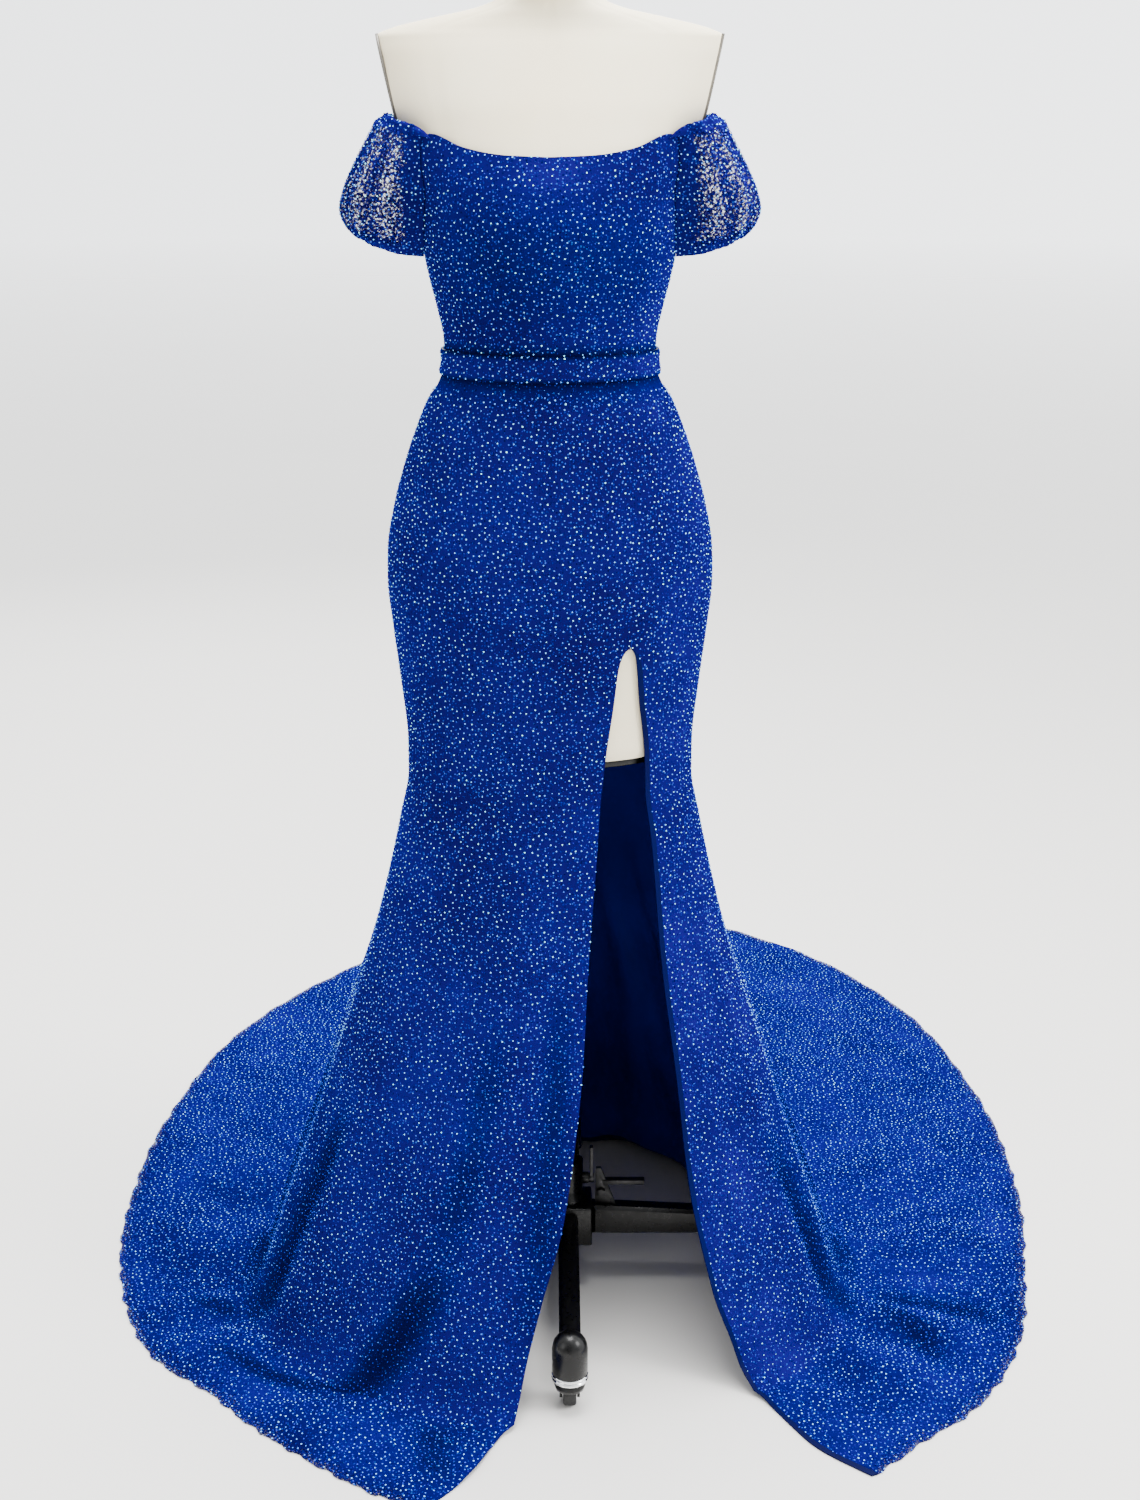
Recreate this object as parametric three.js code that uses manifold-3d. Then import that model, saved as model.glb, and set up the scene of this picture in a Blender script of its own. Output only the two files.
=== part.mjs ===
// Off-shoulder mermaid gown with a thigh slit and a train, on a limbless dress form with a cast stand.
// Millimetres. +Z is up, -Y is the front, +X is the wearer's left. The form's axis is the Z axis
// until the last lines move the whole group so that its box stands centred on the origin.

import * as THREE from 'three';
import { mergeVertices } from 'three/addons/utils/BufferGeometryUtils.js';
import Module from 'manifold-3d';

const wasm = await Module();
wasm.setup();

// Cloth and fitting
const clothWall = 1.5;
const netWall = 1.2;
const liningWall = 1.0;
const seamGap = 0.3;
const fitGap = 0.3;
const formEase = 3.0;

// Gown heights
const waistHeight = 1125;
const beltHeight = 27;
const beltWall = 3.2;
const beltEase = 1.2;
const slitApex = 0.255;
const facingWidth = 8;
const sideSeam = 90;

// Dress form
const formBottom = 700;
const neckTop = 1546;
const neckCapHeight = 9;
const armPlateWall = 3;
const armPlaneHeight = 1376;
const armPlaneHalf = 158.5;
const armPlaneLean = 0.2256;
const bottomPlateInset = 7;
const bottomPlateWall = 8;

// Stand
const standX = 22;
const poleRadius = 13;
const hubSide = 58;
const hubBottom = 62;
const hubTop = 112;
const legReach = 270;
const legBend = 190;
const legWidth = 24;
const domeRadius = 20;
const domeTop = 97;
const domeBottom = 47;
const ringHeight = 9;
const wheelRadius = 16;
const axleRadius = 2.5;
const wheelWidth = 15;
const casterTrail = 9;
const collarRadius = 18;
const collarHeight = 52;

// A table holds one named column for each value, and a row for each section or fold.
function table(columns, rows) {
  const result = { rows };
  columns.forEach((name, i) => {
    result[name] = rows.map((row) => row[i]);
  });
  return result;
}

// Gown from waist to floor. down runs from 0 at the waist to 1 at the floor; the other columns are the
// height and the half width, front depth and back depth of the cloth's inner face.
const skirtTable = table(['down', 'height', 'half', 'front', 'back'], [
  [0.000, 1125, 112, 92, 78],
  [0.020, 1103, 117, 95, 82],
  [0.030, 1091, 127, 99, 87],
  [0.060, 1058, 142, 105, 98],
  [0.100, 1012, 158, 112, 113],
  [0.140, 968, 170, 117, 126],
  [0.180, 922, 178, 119, 134],
  [0.215, 885, 179, 119, 136],
  [0.260, 833, 174, 116, 133],
  [0.320, 765, 166, 112, 127],
  [0.380, 700, 160, 110, 123],
  [0.410, 665, 160, 110, 123],
  [0.460, 610, 170, 115, 131],
  [0.530, 528, 188, 126, 152],
  [0.600, 450, 208, 142, 176],
  [0.680, 360, 238, 168, 212],
  [0.780, 248, 274, 205, 254],
  [0.880, 135, 314, 248, 293],
  [0.940, 68, 336, 274, 315],
  [0.975, 28, 352, 291, 330],
  [1.000, 6, 374, 312, 350],
]);

// Hem on the floor: how far it reaches from the axis at each angle. 0 is the front, + the wearer's left.
const hemTable = table(['angle', 'reach'], [
  [-190, 1218], [-180, 1216], [-170, 1140], [-160, 1020], [-145, 858], [-130, 712], [-110, 594],
  [-90, 533], [-70, 494], [-55, 452], [-40, 448], [-17, 468], [0, 480], [20, 500], [41, 521],
  [50, 525], [60, 548], [75, 570], [90, 590], [110, 668], [130, 815], [145, 985], [160, 1150],
  [170, 1218], [180, 1216], [190, 1140],
]);

// Slit edges: the angle of each edge at each station down the skirt, 1 at the floor and 2 at the hem.
const slitTable = table(['down', 'right', 'left'], [
  [0.000, 29.5, 29.5],
  [slitApex, 29.5, 29.5],
  [0.275, 27.8, 31.0],
  [0.315, 25.0, 35.0],
  [0.380, 22.0, 40.5],
  [0.450, 18.5, 41.2],
  [0.560, 13.0, 38.5],
  [0.700, 8.0, 35.5],
  [0.820, 3.0, 33.6],
  [0.900, -2.0, 34.6],
  [0.965, -5.0, 37.3],
  [1.100, -8.0, 38.5],
  [1.500, -11.0, 38.3],
  [2.000, -16.5, 41.0],
]);

// Side seams: they run down the hips and end in a small corner at the hem.
const sideTable = table(['down', 'right', 'left'], [
  [0.0, -sideSeam, sideSeam],
  [0.6, -sideSeam, sideSeam],
  [1.0, -89, 86],
  [2.0, -88, 81],
]);

// Largest folds. knee, floor and hem are the fold's angles, spread its half width in degrees,
// upright and lying how far it stands out above the floor and on it.
const foldTable = table(['knee', 'floor', 'hem', 'spread', 'upright', 'lying'], [
  [-4, -32, -38, 14, 15, 11],
  [-46, -62, -66, 13, 9, 17],
  [-78, -79, -80, 8, 5, 11],
  [-101, -101, -100, 12, 9, 17],
  [-124, -124, -124, 12, 12, 14],
  [-146, -146, -145, 13, 14, 12],
  [-167, -165, -162, 8, 11, 9],
  [167, 165, 162, 8, 11, 9],
  [146, 146, 145, 13, 12, 13],
  [123, 122, 122, 12, 10, 15],
  [101, 99, 99, 10, 8, 16],
  [82, 76, 73, 7, 5, 12],
  [65, 61, 60, 9, 7, 14],
]);
const foldStart = 0.47;

// The lining shows from just under the dress form to just above the floor.
const liningStart = 0.4;
const liningEnd = 0.98;

// Gown above the waist, inner face of the bodice.
const bodyTable = table(['height', 'half', 'front', 'back'], [
  [1125, 112, 92, 78],
  [1150, 113, 93, 79],
  [1180, 119, 100, 84],
  [1210, 126.5, 112, 90],
  [1240, 132.5, 126, 95],
  [1270, 135.5, 134, 98],
  [1300, 139, 131, 101],
  [1330, 150, 119, 100],
  [1366, 161, 103, 97],
]);

// Top edge of the bodice by angle, the same on both sides.
const topEdgeTable = table(['angle', 'height'], [
  [0, 1338], [18, 1340], [34, 1347], [49, 1360], [60, 1352], [75, 1310], [90, 1296], [105, 1304],
  [120, 1328], [130, 1336], [145, 1322], [162, 1308], [180, 1302],
]);

// Dress form above the neckline.
const shoulderTable = table(['height', 'half', 'front', 'back'], [
  [1366, 158, 100, 94],
  [1385, 166, 91, 94],
  [1405, 172, 80, 91],
  [1428, 177, 67, 85],
  [1445, 180, 57, 78],
  [1456, 180, 50, 71],
  [1464, 164, 46, 64],
  [1474, 122, 44, 57],
  [1484, 76, 45, 54],
  [1492, 57, 48, 56],
  [1506, 52, 46, 54],
  [neckTop, 51, 45, 52],
]);

// Puff sleeve from its rolled top edge to its cuff. out and height belong to its outermost line,
// front and back are the heights where it meets the bodice, bulge is how far it puffs forwards and
// backwards, rise shapes the edge seen from the front and gather is the depth of its gathers.
const sleeveTable = table(
  ['station', 'out', 'height', 'front', 'back', 'bulge', 'rise', 'gather'],
  [
    [0.00, 163, 1358, 1372, 1348, 0, 0.40, 0.3],
    [0.06, 165, 1371, 1368, 1345, 2, 0.40, 0.8],
    [0.12, 171, 1378, 1363, 1341, 4, 0.40, 1.2],
    [0.19, 179, 1371, 1357, 1336, 7, 0.45, 1.9],
    [0.30, 192, 1349, 1342, 1325, 11, 0.55, 2.4],
    [0.44, 207, 1322, 1320, 1307, 15, 0.70, 2.4],
    [0.58, 217, 1300, 1297, 1288, 17, 0.90, 2.0],
    [0.72, 221, 1283, 1275, 1270, 16, 1.10, 1.6],
    [0.86, 216, 1268, 1254, 1252, 12, 1.35, 1.1],
    [1.00, 207, 1258, 1236, 1236, 7, 1.60, 0.7],
  ],
);
const sleeveFrontAngle = [49, 80];
const sleeveBackAngle = [130, 100];
const sleeveGathers = 7;
const sleeveEase = 1.3;

function radians(degrees) {
  return degrees * Math.PI / 180;
}

function mix(a, b, t) {
  return a + (b - a) * t;
}

function clamp(value, low, high) {
  return Math.min(high, Math.max(low, value));
}

// Smooth curve through points, with no overshoot between them.
function curve(x, xs, ys) {
  const last = xs.length - 1;
  const slope = (i) => (ys[i + 1] - ys[i]) / (xs[i + 1] - xs[i]);
  const tangent = (i) => {
    if (i === 0) return slope(0);
    if (i === last) return slope(last - 1);
    const before = slope(i - 1);
    const after = slope(i);
    return before * after <= 0 ? 0 : 2 * before * after / (before + after);
  };
  let k = 0;
  while (k < last - 1 && x > xs[k + 1]) k += 1;
  const step = xs[k + 1] - xs[k];
  const t = clamp((x - xs[k]) / step, 0, 1);
  return (2 * t ** 3 - 3 * t ** 2 + 1) * ys[k] + (t ** 3 - 2 * t ** 2 + t) * step * tangent(k)
    + (3 * t ** 2 - 2 * t ** 3) * ys[k + 1] + (t ** 3 - t ** 2) * step * tangent(k + 1);
}

// Point of an oval section with its own front and back depth.
function ovalPoint(angle, half, front, back, height) {
  const a = radians(angle);
  const depth = Math.cos(a) > 0 ? front : back;
  return new THREE.Vector3(half * Math.sin(a), -depth * Math.cos(a), height);
}

// Skirt's inner face with no folds: down 0 to 1 is upright, 1 to 2 lies on the floor.
function plainSkirt(angle, down) {
  const upright = Math.min(down, 1);
  const read = (name) => curve(upright, skirtTable.down, skirtTable[name]);
  const point = ovalPoint(angle, read('half'), read('front'), read('back'), read('height'));
  if (down > 1) {
    const lying = down - 1;
    const reach = curve(angle, hemTable.angle, hemTable.reach);
    point.x = mix(point.x, reach * Math.sin(radians(angle)), lying);
    point.y = mix(point.y, -reach * Math.cos(radians(angle)), lying);
    point.z *= Math.max(0, 1 - lying / 0.25) ** 2;
  }
  return point;
}

// How far the folds stand out of the plain skirt.
function foldHeight(angle, down) {
  if (down <= foldStart) return 0;
  let total = 0;
  foldTable.rows.forEach(([knee, floor, hem, spread, upright, lying]) => {
    const t = (down - foldStart) / (1 - foldStart);
    const centre = down < 1 ? mix(knee, floor, t) : mix(floor, hem, down - 1);
    const away = Math.abs(((angle - centre + 540) % 360) - 180) / spread;
    if (away >= 1) return;
    const size = curve(down, [foldStart, 0.90, 1.0, 1.12, 1.4, 1.75, 1.93, 2], [
      0, upright, 0.55 * upright, 0.6 * lying, lying, 0.5 * lying, 0, 0]);
    total += size * Math.cos(away * Math.PI / 2) ** 2;
  });
  return total;
}

// Outward normal of a surface function of two values.
function surfaceNormal(surface, a, b, stepA, stepB) {
  const alongA = surface(a + stepA, b).sub(surface(a - stepA, b));
  const alongB = surface(a, b + stepB).sub(surface(a, b - stepB));
  return alongB.cross(alongA).normalize();
}

function skirtPoint(angle, down, out) {
  const at = clamp(down, 0.003, 1.997);
  const normal = surfaceNormal(plainSkirt, angle, at, 0.25, 0.002);
  return plainSkirt(angle, down).addScaledVector(normal, foldHeight(angle, down) + out);
}

// Bodice's inner face.
function plainBodice(angle, height) {
  const read = (name) => curve(height, bodyTable.height, bodyTable[name]);
  return ovalPoint(angle, read('half'), read('front'), read('back'), height);
}

function bodicePoint(angle, height, out) {
  const at = clamp(height, waistHeight + 2, 1364);
  const normal = surfaceNormal(plainBodice, angle, at, 0.25, -2);
  normal.z = 0;
  return plainBodice(angle, height).addScaledVector(normal.normalize(), out);
}

function topEdge(angle) {
  return curve(Math.abs(angle), topEdgeTable.angle, topEdgeTable.height);
}

// Section of the gown's inner face at a height, from the skirt or the bodice.
function sectionAt(height) {
  const source = height >= waistHeight ? bodyTable : skirtTable;
  const heights = height >= waistHeight ? source.height : [...source.height].reverse();
  const read = (name) => {
    const values = height >= waistHeight ? source[name] : [...source[name]].reverse();
    return curve(height, heights, values);
  };
  return { half: read('half'), front: read('front'), back: read('back') };
}

// Geometry from vertices and triangles, turned so that its faces point out.
function solid(points, triangles) {
  const geometry = new THREE.BufferGeometry();
  geometry.setAttribute('position', new THREE.Float32BufferAttribute(points.flatMap((p) => p.toArray()), 3));
  let volume = 0;
  triangles.forEach(([a, b, c]) => {
    volume += points[a].dot(new THREE.Vector3().crossVectors(points[b], points[c]));
  });
  const faces = volume > 0 ? triangles : triangles.map(([a, b, c]) => [a, c, b]);
  geometry.setIndex(faces.flat());
  return geometry;
}

// Closed wall between an inner and an outer grid of points, rows by columns.
function wallGeometry(inner, outer) {
  const rows = inner.length;
  const columns = inner[0].length;
  const points = [...inner.flat(), ...outer.flat()];
  const at = (side, i, j) => side * rows * columns + i * columns + j;
  const triangles = [];
  const quad = (a, b, c, d) => triangles.push([a, b, c], [a, c, d]);
  for (let i = 0; i < rows - 1; i += 1) {
    for (let j = 0; j < columns - 1; j += 1) {
      quad(at(0, i, j), at(0, i, j + 1), at(0, i + 1, j + 1), at(0, i + 1, j));
      quad(at(1, i, j), at(1, i + 1, j), at(1, i + 1, j + 1), at(1, i, j + 1));
    }
  }
  for (let j = 0; j < columns - 1; j += 1) {
    quad(at(0, 0, j), at(1, 0, j), at(1, 0, j + 1), at(0, 0, j + 1));
    quad(at(0, rows - 1, j), at(0, rows - 1, j + 1), at(1, rows - 1, j + 1), at(1, rows - 1, j));
  }
  for (let i = 0; i < rows - 1; i += 1) {
    quad(at(0, i, 0), at(0, i + 1, 0), at(1, i + 1, 0), at(1, i, 0));
    quad(at(0, i, columns - 1), at(1, i, columns - 1), at(1, i + 1, columns - 1), at(0, i + 1, columns - 1));
  }
  return solid(points, triangles);
}

// Wall from a surface function: place(i, j) gives its two values, surface adds how far out.
function surfaceWall(rows, columns, place, surface, from, to) {
  const grid = (out) => Array.from({ length: rows }, (_, i) => (
    Array.from({ length: columns }, (__, j) => surface(...place(i, j), out))
  ));
  return wallGeometry(grid(from), grid(to));
}

// Solid from closed rings of the same count, capped at both ends.
function ringSolid(rings) {
  const count = rings[0].length;
  const points = rings.flat();
  const triangles = [];
  for (let i = 0; i < rings.length - 1; i += 1) {
    for (let j = 0; j < count; j += 1) {
      const next = (j + 1) % count;
      const a = i * count + j;
      const b = i * count + next;
      triangles.push([a, b, b + count], [a, b + count, a + count]);
    }
  }
  [0, rings.length - 1].forEach((end) => {
    const centre = new THREE.Vector3();
    rings[end].forEach((p) => centre.add(p));
    points.push(centre.divideScalar(count));
    for (let j = 0; j < count; j += 1) {
      const edge = [end * count + j, end * count + (j + 1) % count];
      triangles.push(end === 0 ? [points.length - 1, edge[1], edge[0]] : [points.length - 1, ...edge]);
    }
  });
  return solid(points, triangles);
}

// Joining and cutting of closed solids.
function toManifold(geometry) {
  const plain = geometry.clone();
  plain.deleteAttribute('normal');
  plain.deleteAttribute('uv');
  const merged = mergeVertices(plain, 1e-4);
  return new wasm.Manifold(new wasm.Mesh({
    numProp: 3,
    vertProperties: new Float32Array(merged.attributes.position.array),
    triVerts: new Uint32Array(merged.index.array),
  }));
}

function fromManifold(manifold) {
  const mesh = manifold.getMesh();
  const geometry = new THREE.BufferGeometry();
  geometry.setAttribute('position', new THREE.Float32BufferAttribute(mesh.vertProperties, 3));
  geometry.setIndex([...mesh.triVerts]);
  return geometry;
}

function join(...geometries) {
  return fromManifold(geometries.map(toManifold).reduce((a, b) => a.add(b)));
}

function cut(geometry, ...tools) {
  return fromManifold(tools.map(toManifold).reduce((a, b) => a.subtract(b), toManifold(geometry)));
}

function boxAt(width, depth, height, x, y, z) {
  return new THREE.BoxGeometry(width, depth, height).translate(x, y, z);
}

// Upright turned solid from [radius, height] steps that start and end on the axis.
function turned(steps, segments) {
  const outline = steps.map(([radius, height]) => new THREE.Vector2(radius, height));
  return new THREE.LatheGeometry(outline, segments).rotateX(Math.PI / 2);
}

const finishes = {
  beaded: { color: 0x1238b0, roughness: 0.38, metalness: 0.15 },
  net: { color: 0x2a58cc, roughness: 0.45, metalness: 0.1 },
  satin: { color: 0x0a1a72, roughness: 0.42, metalness: 0.0 },
  linen: { color: 0xf1e7d2, roughness: 0.85, metalness: 0.0 },
  plate: { color: 0x6e6a62, roughness: 0.5, metalness: 0.3 },
  iron: { color: 0x0b0b0d, roughness: 0.22, metalness: 0.4 },
  chrome: { color: 0xd8dade, roughness: 0.1, metalness: 1.0 },
  rubber: { color: 0x1c1c1e, roughness: 0.7, metalness: 0.0 },
};

const group = new THREE.Group();

function add(name, geometry, finish) {
  const mesh = new THREE.Mesh(geometry, new THREE.MeshStandardMaterial(finishes[finish]));
  mesh.name = name;
  group.add(mesh);
  return mesh;
}

// Skirt stations from waist to hem, closer where the cloth bends.
const seamStart = 0.0003;
const upperStations = [seamStart, 0.02, 0.032, 0.06, 0.11, 0.16, 0.21];
const kneeStations = [slitApex, 0.278, 0.32, 0.375, 0.42, 0.48, 0.56, 0.65, 0.74, 0.82, 0.89];
const footStations = [0.94, 0.975, 1.0, 1.06, 1.18, 1.34, 1.52, 1.7, 1.86, 2.0];
const skirtStations = [...upperStations, ...kneeStations, ...footStations];

// Angle that a seam or a strip width takes up at a station.
function widthAngle(width, down) {
  const upright = Math.min(down, 1);
  const read = (name) => curve(upright, skirtTable.down, skirtTable[name]);
  const radius = Math.min(read('half'), read('front'), read('back'));
  return width / radius * 180 / Math.PI;
}

const slitRight = (down) => curve(down, slitTable.down, slitTable.right);
const slitLeft = (down) => curve(down, slitTable.down, slitTable.left);
const sideRight = (down) => curve(down, sideTable.down, sideTable.right);
const sideLeft = (down) => curve(down, sideTable.down, sideTable.left);

// Panel of the skirt between two edges, each an angle by station. The outer two gaps are half seams.
function skirtPanel(stations, columns, firstEdge, lastEdge, from, to) {
  const place = (i, j) => {
    const down = stations[i];
    const gap = widthAngle(seamGap * 0.7, down);
    const first = firstEdge(down) + gap;
    const last = lastEdge(down) - gap;
    return [mix(first, last, j / (columns - 1)), down];
  };
  return surfaceWall(stations.length, columns, place, skirtPoint, from, to);
}

function addSkirt() {
  const right = sideRight;
  const left = sideLeft;
  const back = (sign) => () => sign * 180;
  const backColumns = 14;
  const facingEdge = (down) => slitLeft(down) + (down < slitApex ? 0 : widthAngle(facingWidth, down));
  const facingStations = [...kneeStations, ...footStations];
  add('skirt_front', skirtPanel(skirtStations, 15, right, slitRight, 0, clothWall), 'beaded');
  add('skirt_front_left', skirtPanel(skirtStations, 8, facingEdge, left, 0, clothWall), 'beaded');
  add('slit_facing', skirtPanel(facingStations, 2, slitLeft, facingEdge, 0, clothWall), 'satin');
  add('skirt_back_right', skirtPanel(skirtStations, backColumns, back(-1), right, 0, clothWall), 'beaded');
  add('skirt_back_left', skirtPanel(skirtStations, backColumns, left, back(1), 0, clothWall), 'beaded');
  const liningStations = skirtStations.filter((down) => down > liningStart && down < liningEnd);
  const outer = -fitGap;
  const inner = outer - liningWall;
  add('lining_right', skirtPanel(liningStations, backColumns, back(-1), right, inner, outer), 'satin');
  add('lining_left', skirtPanel(liningStations, backColumns, left, back(1), inner, outer), 'satin');
}

function bodicePanel(columns, first, last) {
  const rows = 8;
  const place = (i, j) => {
    const gap = widthAngle(seamGap * 0.7, 0);
    const angle = mix(first + gap, last - gap, j / (columns - 1));
    return [angle, mix(waistHeight, topEdge(angle), i / (rows - 1))];
  };
  return surfaceWall(rows, columns, place, bodicePoint, 0, clothWall);
}

function addBodice() {
  add('bodice_front', bodicePanel(21, -sideSeam, sideSeam), 'beaded');
  add('bodice_back_right', bodicePanel(11, -180, -sideSeam), 'beaded');
  add('bodice_back_left', bodicePanel(11, sideSeam, 180), 'beaded');
}

// Narrow belt over the waist seam, open at the centre back like the seam under it.
function addBelt() {
  const levels = [-0.5, -0.36, 0.36, 0.5];
  const crown = [0.6, 1, 1, 0.6];
  const columns = 33;
  const openAngle = widthAngle(0.6, 0);
  const grid = (full) => levels.map((level, i) => Array.from({ length: columns }, (_, j) => {
    const angle = mix(-180 + openAngle, 180 - openAngle, j / (columns - 1));
    const height = waistHeight + level * beltHeight;
    const section = sectionAt(height);
    const out = clothWall + beltEase + (full ? beltWall * crown[i] : 0);
    return ovalPoint(angle, section.half + out, section.front + out, section.back + out, height);
  }));
  add('belt', wallGeometry(grid(false), grid(true)), 'beaded');
}

// Sleeve surface: around runs from the front seam over the outside to the back seam.
function sleeveSurface(around, station) {
  const read = (name) => curve(station, sleeveTable.station, sleeveTable[name]);
  const lift = clothWall + sleeveEase;
  const frontAngle = mix(...sleeveFrontAngle, station);
  const backAngle = mix(...sleeveBackAngle, station);
  const start = bodicePoint(frontAngle, read('front'), lift);
  const end = bodicePoint(backAngle, read('back'), lift);
  const arch = Math.max(0, Math.sin(Math.PI * around));
  const side = mix(start.x, end.x, around);
  const middle = (start.y + end.y) / 2;
  const depth = (end.y - start.y) / 2;
  const x = side + (read('out') - side) * arch ** 0.8;
  const y = middle - depth * Math.cos(Math.PI * around) - read('bulge') * Math.sin(2 * Math.PI * around);
  const base = mix(read('front'), read('back'), around);
  return new THREE.Vector3(x, y, base + (read('height') - base) * arch ** read('rise'));
}

function sleevePoint(around, station, out) {
  const a = clamp(around, 0.02, 0.98);
  const b = clamp(station, 0.01, 0.99);
  const normal = surfaceNormal(sleeveSurface, a, b, 0.01, 0.005);
  const gather = curve(station, sleeveTable.station, sleeveTable.gather);
  const fade = Math.sin(Math.PI * around) ** 0.5;
  const wave = gather * fade * Math.cos(2 * Math.PI * sleeveGathers * around + 2.2 * station);
  return sleeveSurface(around, station).addScaledVector(normal, wave + out);
}

function addSleeves() {
  const stations = [0, 0.06, 0.12, 0.2, 0.32, 0.5, 0.68, 0.84, 1];
  const columns = 29;
  [['sleeve_left', 1], ['sleeve_right', -1]].forEach(([name, side]) => {
    const surface = (around, station, out) => {
      const point = sleevePoint(around, station, out);
      point.x *= side;
      return point;
    };
    const place = (i, j) => [j / (columns - 1), stations[i]];
    add(name, surfaceWall(stations.length, columns, place, surface, 0, netWall), 'net');
  });
}

// Concealed zip's slider and its pull tab at the centre back.
function addZip() {
  const height = topEdge(180) - 14;
  const face = bodicePoint(180, height, clothWall + fitGap).y;
  const lug = (side) => boxAt(0.8, 2.2, 2.6, side * 2.5, face + 4.2, height + 2.6);
  const body = boxAt(5.8, 3.2, 9, 0, face + 1.6, height);
  add('zip_slider', join(body, lug(-1), lug(1)), 'chrome');
  const pin = new THREE.CylinderGeometry(0.7, 0.7, 3.8, 12).rotateZ(Math.PI / 2)
    .translate(0, face + 4.4, height + 2.6);
  const blade = boxAt(3.4, 1.0, 20, 0, face + 4.4, height - 7.6);
  add('zip_tab', join(pin, blade), 'chrome');
}

// Half width of the plane that the arm plates close, at a height.
function armPlane(height) {
  return armPlaneHalf + (height - armPlaneHeight) * armPlaneLean;
}

function formSection(height) {
  if (height > shoulderTable.height[0]) {
    const read = (name) => curve(height, shoulderTable.height, shoulderTable[name]);
    return { half: read('half'), front: read('front'), back: read('back') };
  }
  const { half, front, back } = sectionAt(height);
  return { half: half - formEase, front: front - formEase, back: back - formEase };
}

function addForm() {
  const lower = [700, 703, 740, 833, 885, 935, 1000, 1058, 1088, 1102, 1125];
  const upper = [1160, 1195, 1230, 1265, 1300, 1332, 1366];
  const heights = [...lower, ...upper, ...shoulderTable.height.slice(1)];
  const segments = 32;
  const rings = heights.map((height, i) => {
    const { half, front, back } = formSection(height);
    const inset = i === 0 ? 3 : 0;
    return Array.from({ length: segments }, (_, j) => (
      ovalPoint(j * 360 / segments, half - inset, front - inset, back - inset, height)
    ));
  });
  const plateRoom = boxAt(120, 400, 400, 60, 0, 0);
  const lean = Math.atan(armPlaneLean);
  const sides = [1, -1].map((side) => {
    const room = plateRoom.clone().rotateY(lean).translate(armPlaneHalf, 0, armPlaneHeight);
    return side === 1 ? room : room.rotateZ(Math.PI);
  });
  add('form_torso', cut(ringSolid(rings), ...sides), 'linen');
  [['form_arm_plate_left', 0], ['form_arm_plate_right', Math.PI]].forEach(([name, turn]) => {
    add(name, armPlate(lean).rotateZ(turn), 'plate');
  });
  const cap = turned([[0, 0], [49, 0], [50, 3], [48, neckCapHeight], [0, neckCapHeight]], 24);
  cap.scale(1, 0.95, 1).translate(0, 3.5, neckTop + fitGap);
  add('form_neck_cap', cap, 'plate');
  const { half, front, back } = formSection(formBottom);
  const plate = [0, bottomPlateWall].map((up) => Array.from({ length: 36 }, (_, j) => (
    ovalPoint(j * 10, half - bottomPlateInset, front - bottomPlateInset, back - bottomPlateInset,
      formBottom - fitGap - bottomPlateWall + up)
  )));
  add('form_bottom_plate', ringSolid(plate), 'iron');
}

// Oval plate on the flat armhole of the form, with the outline that the plane cuts.
function armPlate(lean) {
  const low = 1340;
  const high = 1459;
  const steps = 14;
  const outline = (side) => Array.from({ length: steps + 1 }, (_, i) => {
    const height = mix(low, high, (1 - Math.cos(Math.PI * i / steps)) / 2);
    const { half, front, back } = formSection(height);
    const reach = Math.sqrt(Math.max(0, 1 - (armPlane(height) / half) ** 2));
    const depth = Math.max(6, (side < 0 ? front : back) * reach - 3);
    return [side * depth, height];
  });
  const oval = [...outline(-1), ...outline(1).reverse()];
  const face = (out) => oval.map(([y, height]) => {
    const x = armPlane(height) + out * Math.cos(lean);
    return new THREE.Vector3(x, y, height - out * Math.sin(lean));
  });
  return ringSolid([face(fitGap), face(fitGap + armPlateWall)]);
}

// Height of a leg's top face, which slopes gently from the hub to the bend.
function legTop(reach) {
  return mix(106, 98, (reach - hubSide / 2) / (legBend - hubSide / 2));
}

// Cast leg seen from the side, with the domed end that holds the caster.
function legGeometry() {
  const start = hubSide / 2 + fitGap;
  const side = new THREE.Shape([
    new THREE.Vector2(start, 68),
    new THREE.Vector2(legBend, 68),
    new THREE.Vector2(legReach, 60),
    new THREE.Vector2(legReach, 88),
    new THREE.Vector2(legBend, legTop(legBend)),
    new THREE.Vector2(start, legTop(start)),
  ]);
  const bar = new THREE.ExtrudeGeometry(side, {
    depth: legWidth - 8, bevelThickness: 4, bevelSize: 4, bevelOffset: -4, bevelSegments: 1,
  });
  bar.translate(0, 0, 4 - legWidth / 2).rotateX(Math.PI / 2);
  const domeSteps = [[0, domeBottom], [domeRadius, domeBottom], [domeRadius, domeTop - domeRadius]];
  const domeRows = 4;
  for (let i = 1; i <= domeRows; i += 1) {
    const a = i * Math.PI / 2 / domeRows;
    const radius = i === domeRows ? 0 : domeRadius * Math.cos(a);
    domeSteps.push([radius, domeTop - domeRadius + domeRadius * Math.sin(a)]);
  }
  const dome = turned(domeSteps, 16).translate(legReach, 0, 0);
  return join(bar, dome);
}

// Chrome double ring under the dome, with the stem that carries the fork.
function casterRing() {
  const top = domeBottom - fitGap;
  const bead = ringHeight / 2;
  const steps = [[0, top - ringHeight], [domeRadius - 1.5, top - ringHeight]];
  [1, 0].forEach((below) => {
    const low = top - bead * (below + 1);
    steps.push([domeRadius + 0.6, low + 0.3 * bead], [domeRadius + 0.6, low + 0.7 * bead]);
    steps.push([domeRadius - 1.5, low + bead]);
  });
  steps.push([0, top]);
  return turned(steps, 16);
}

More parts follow.
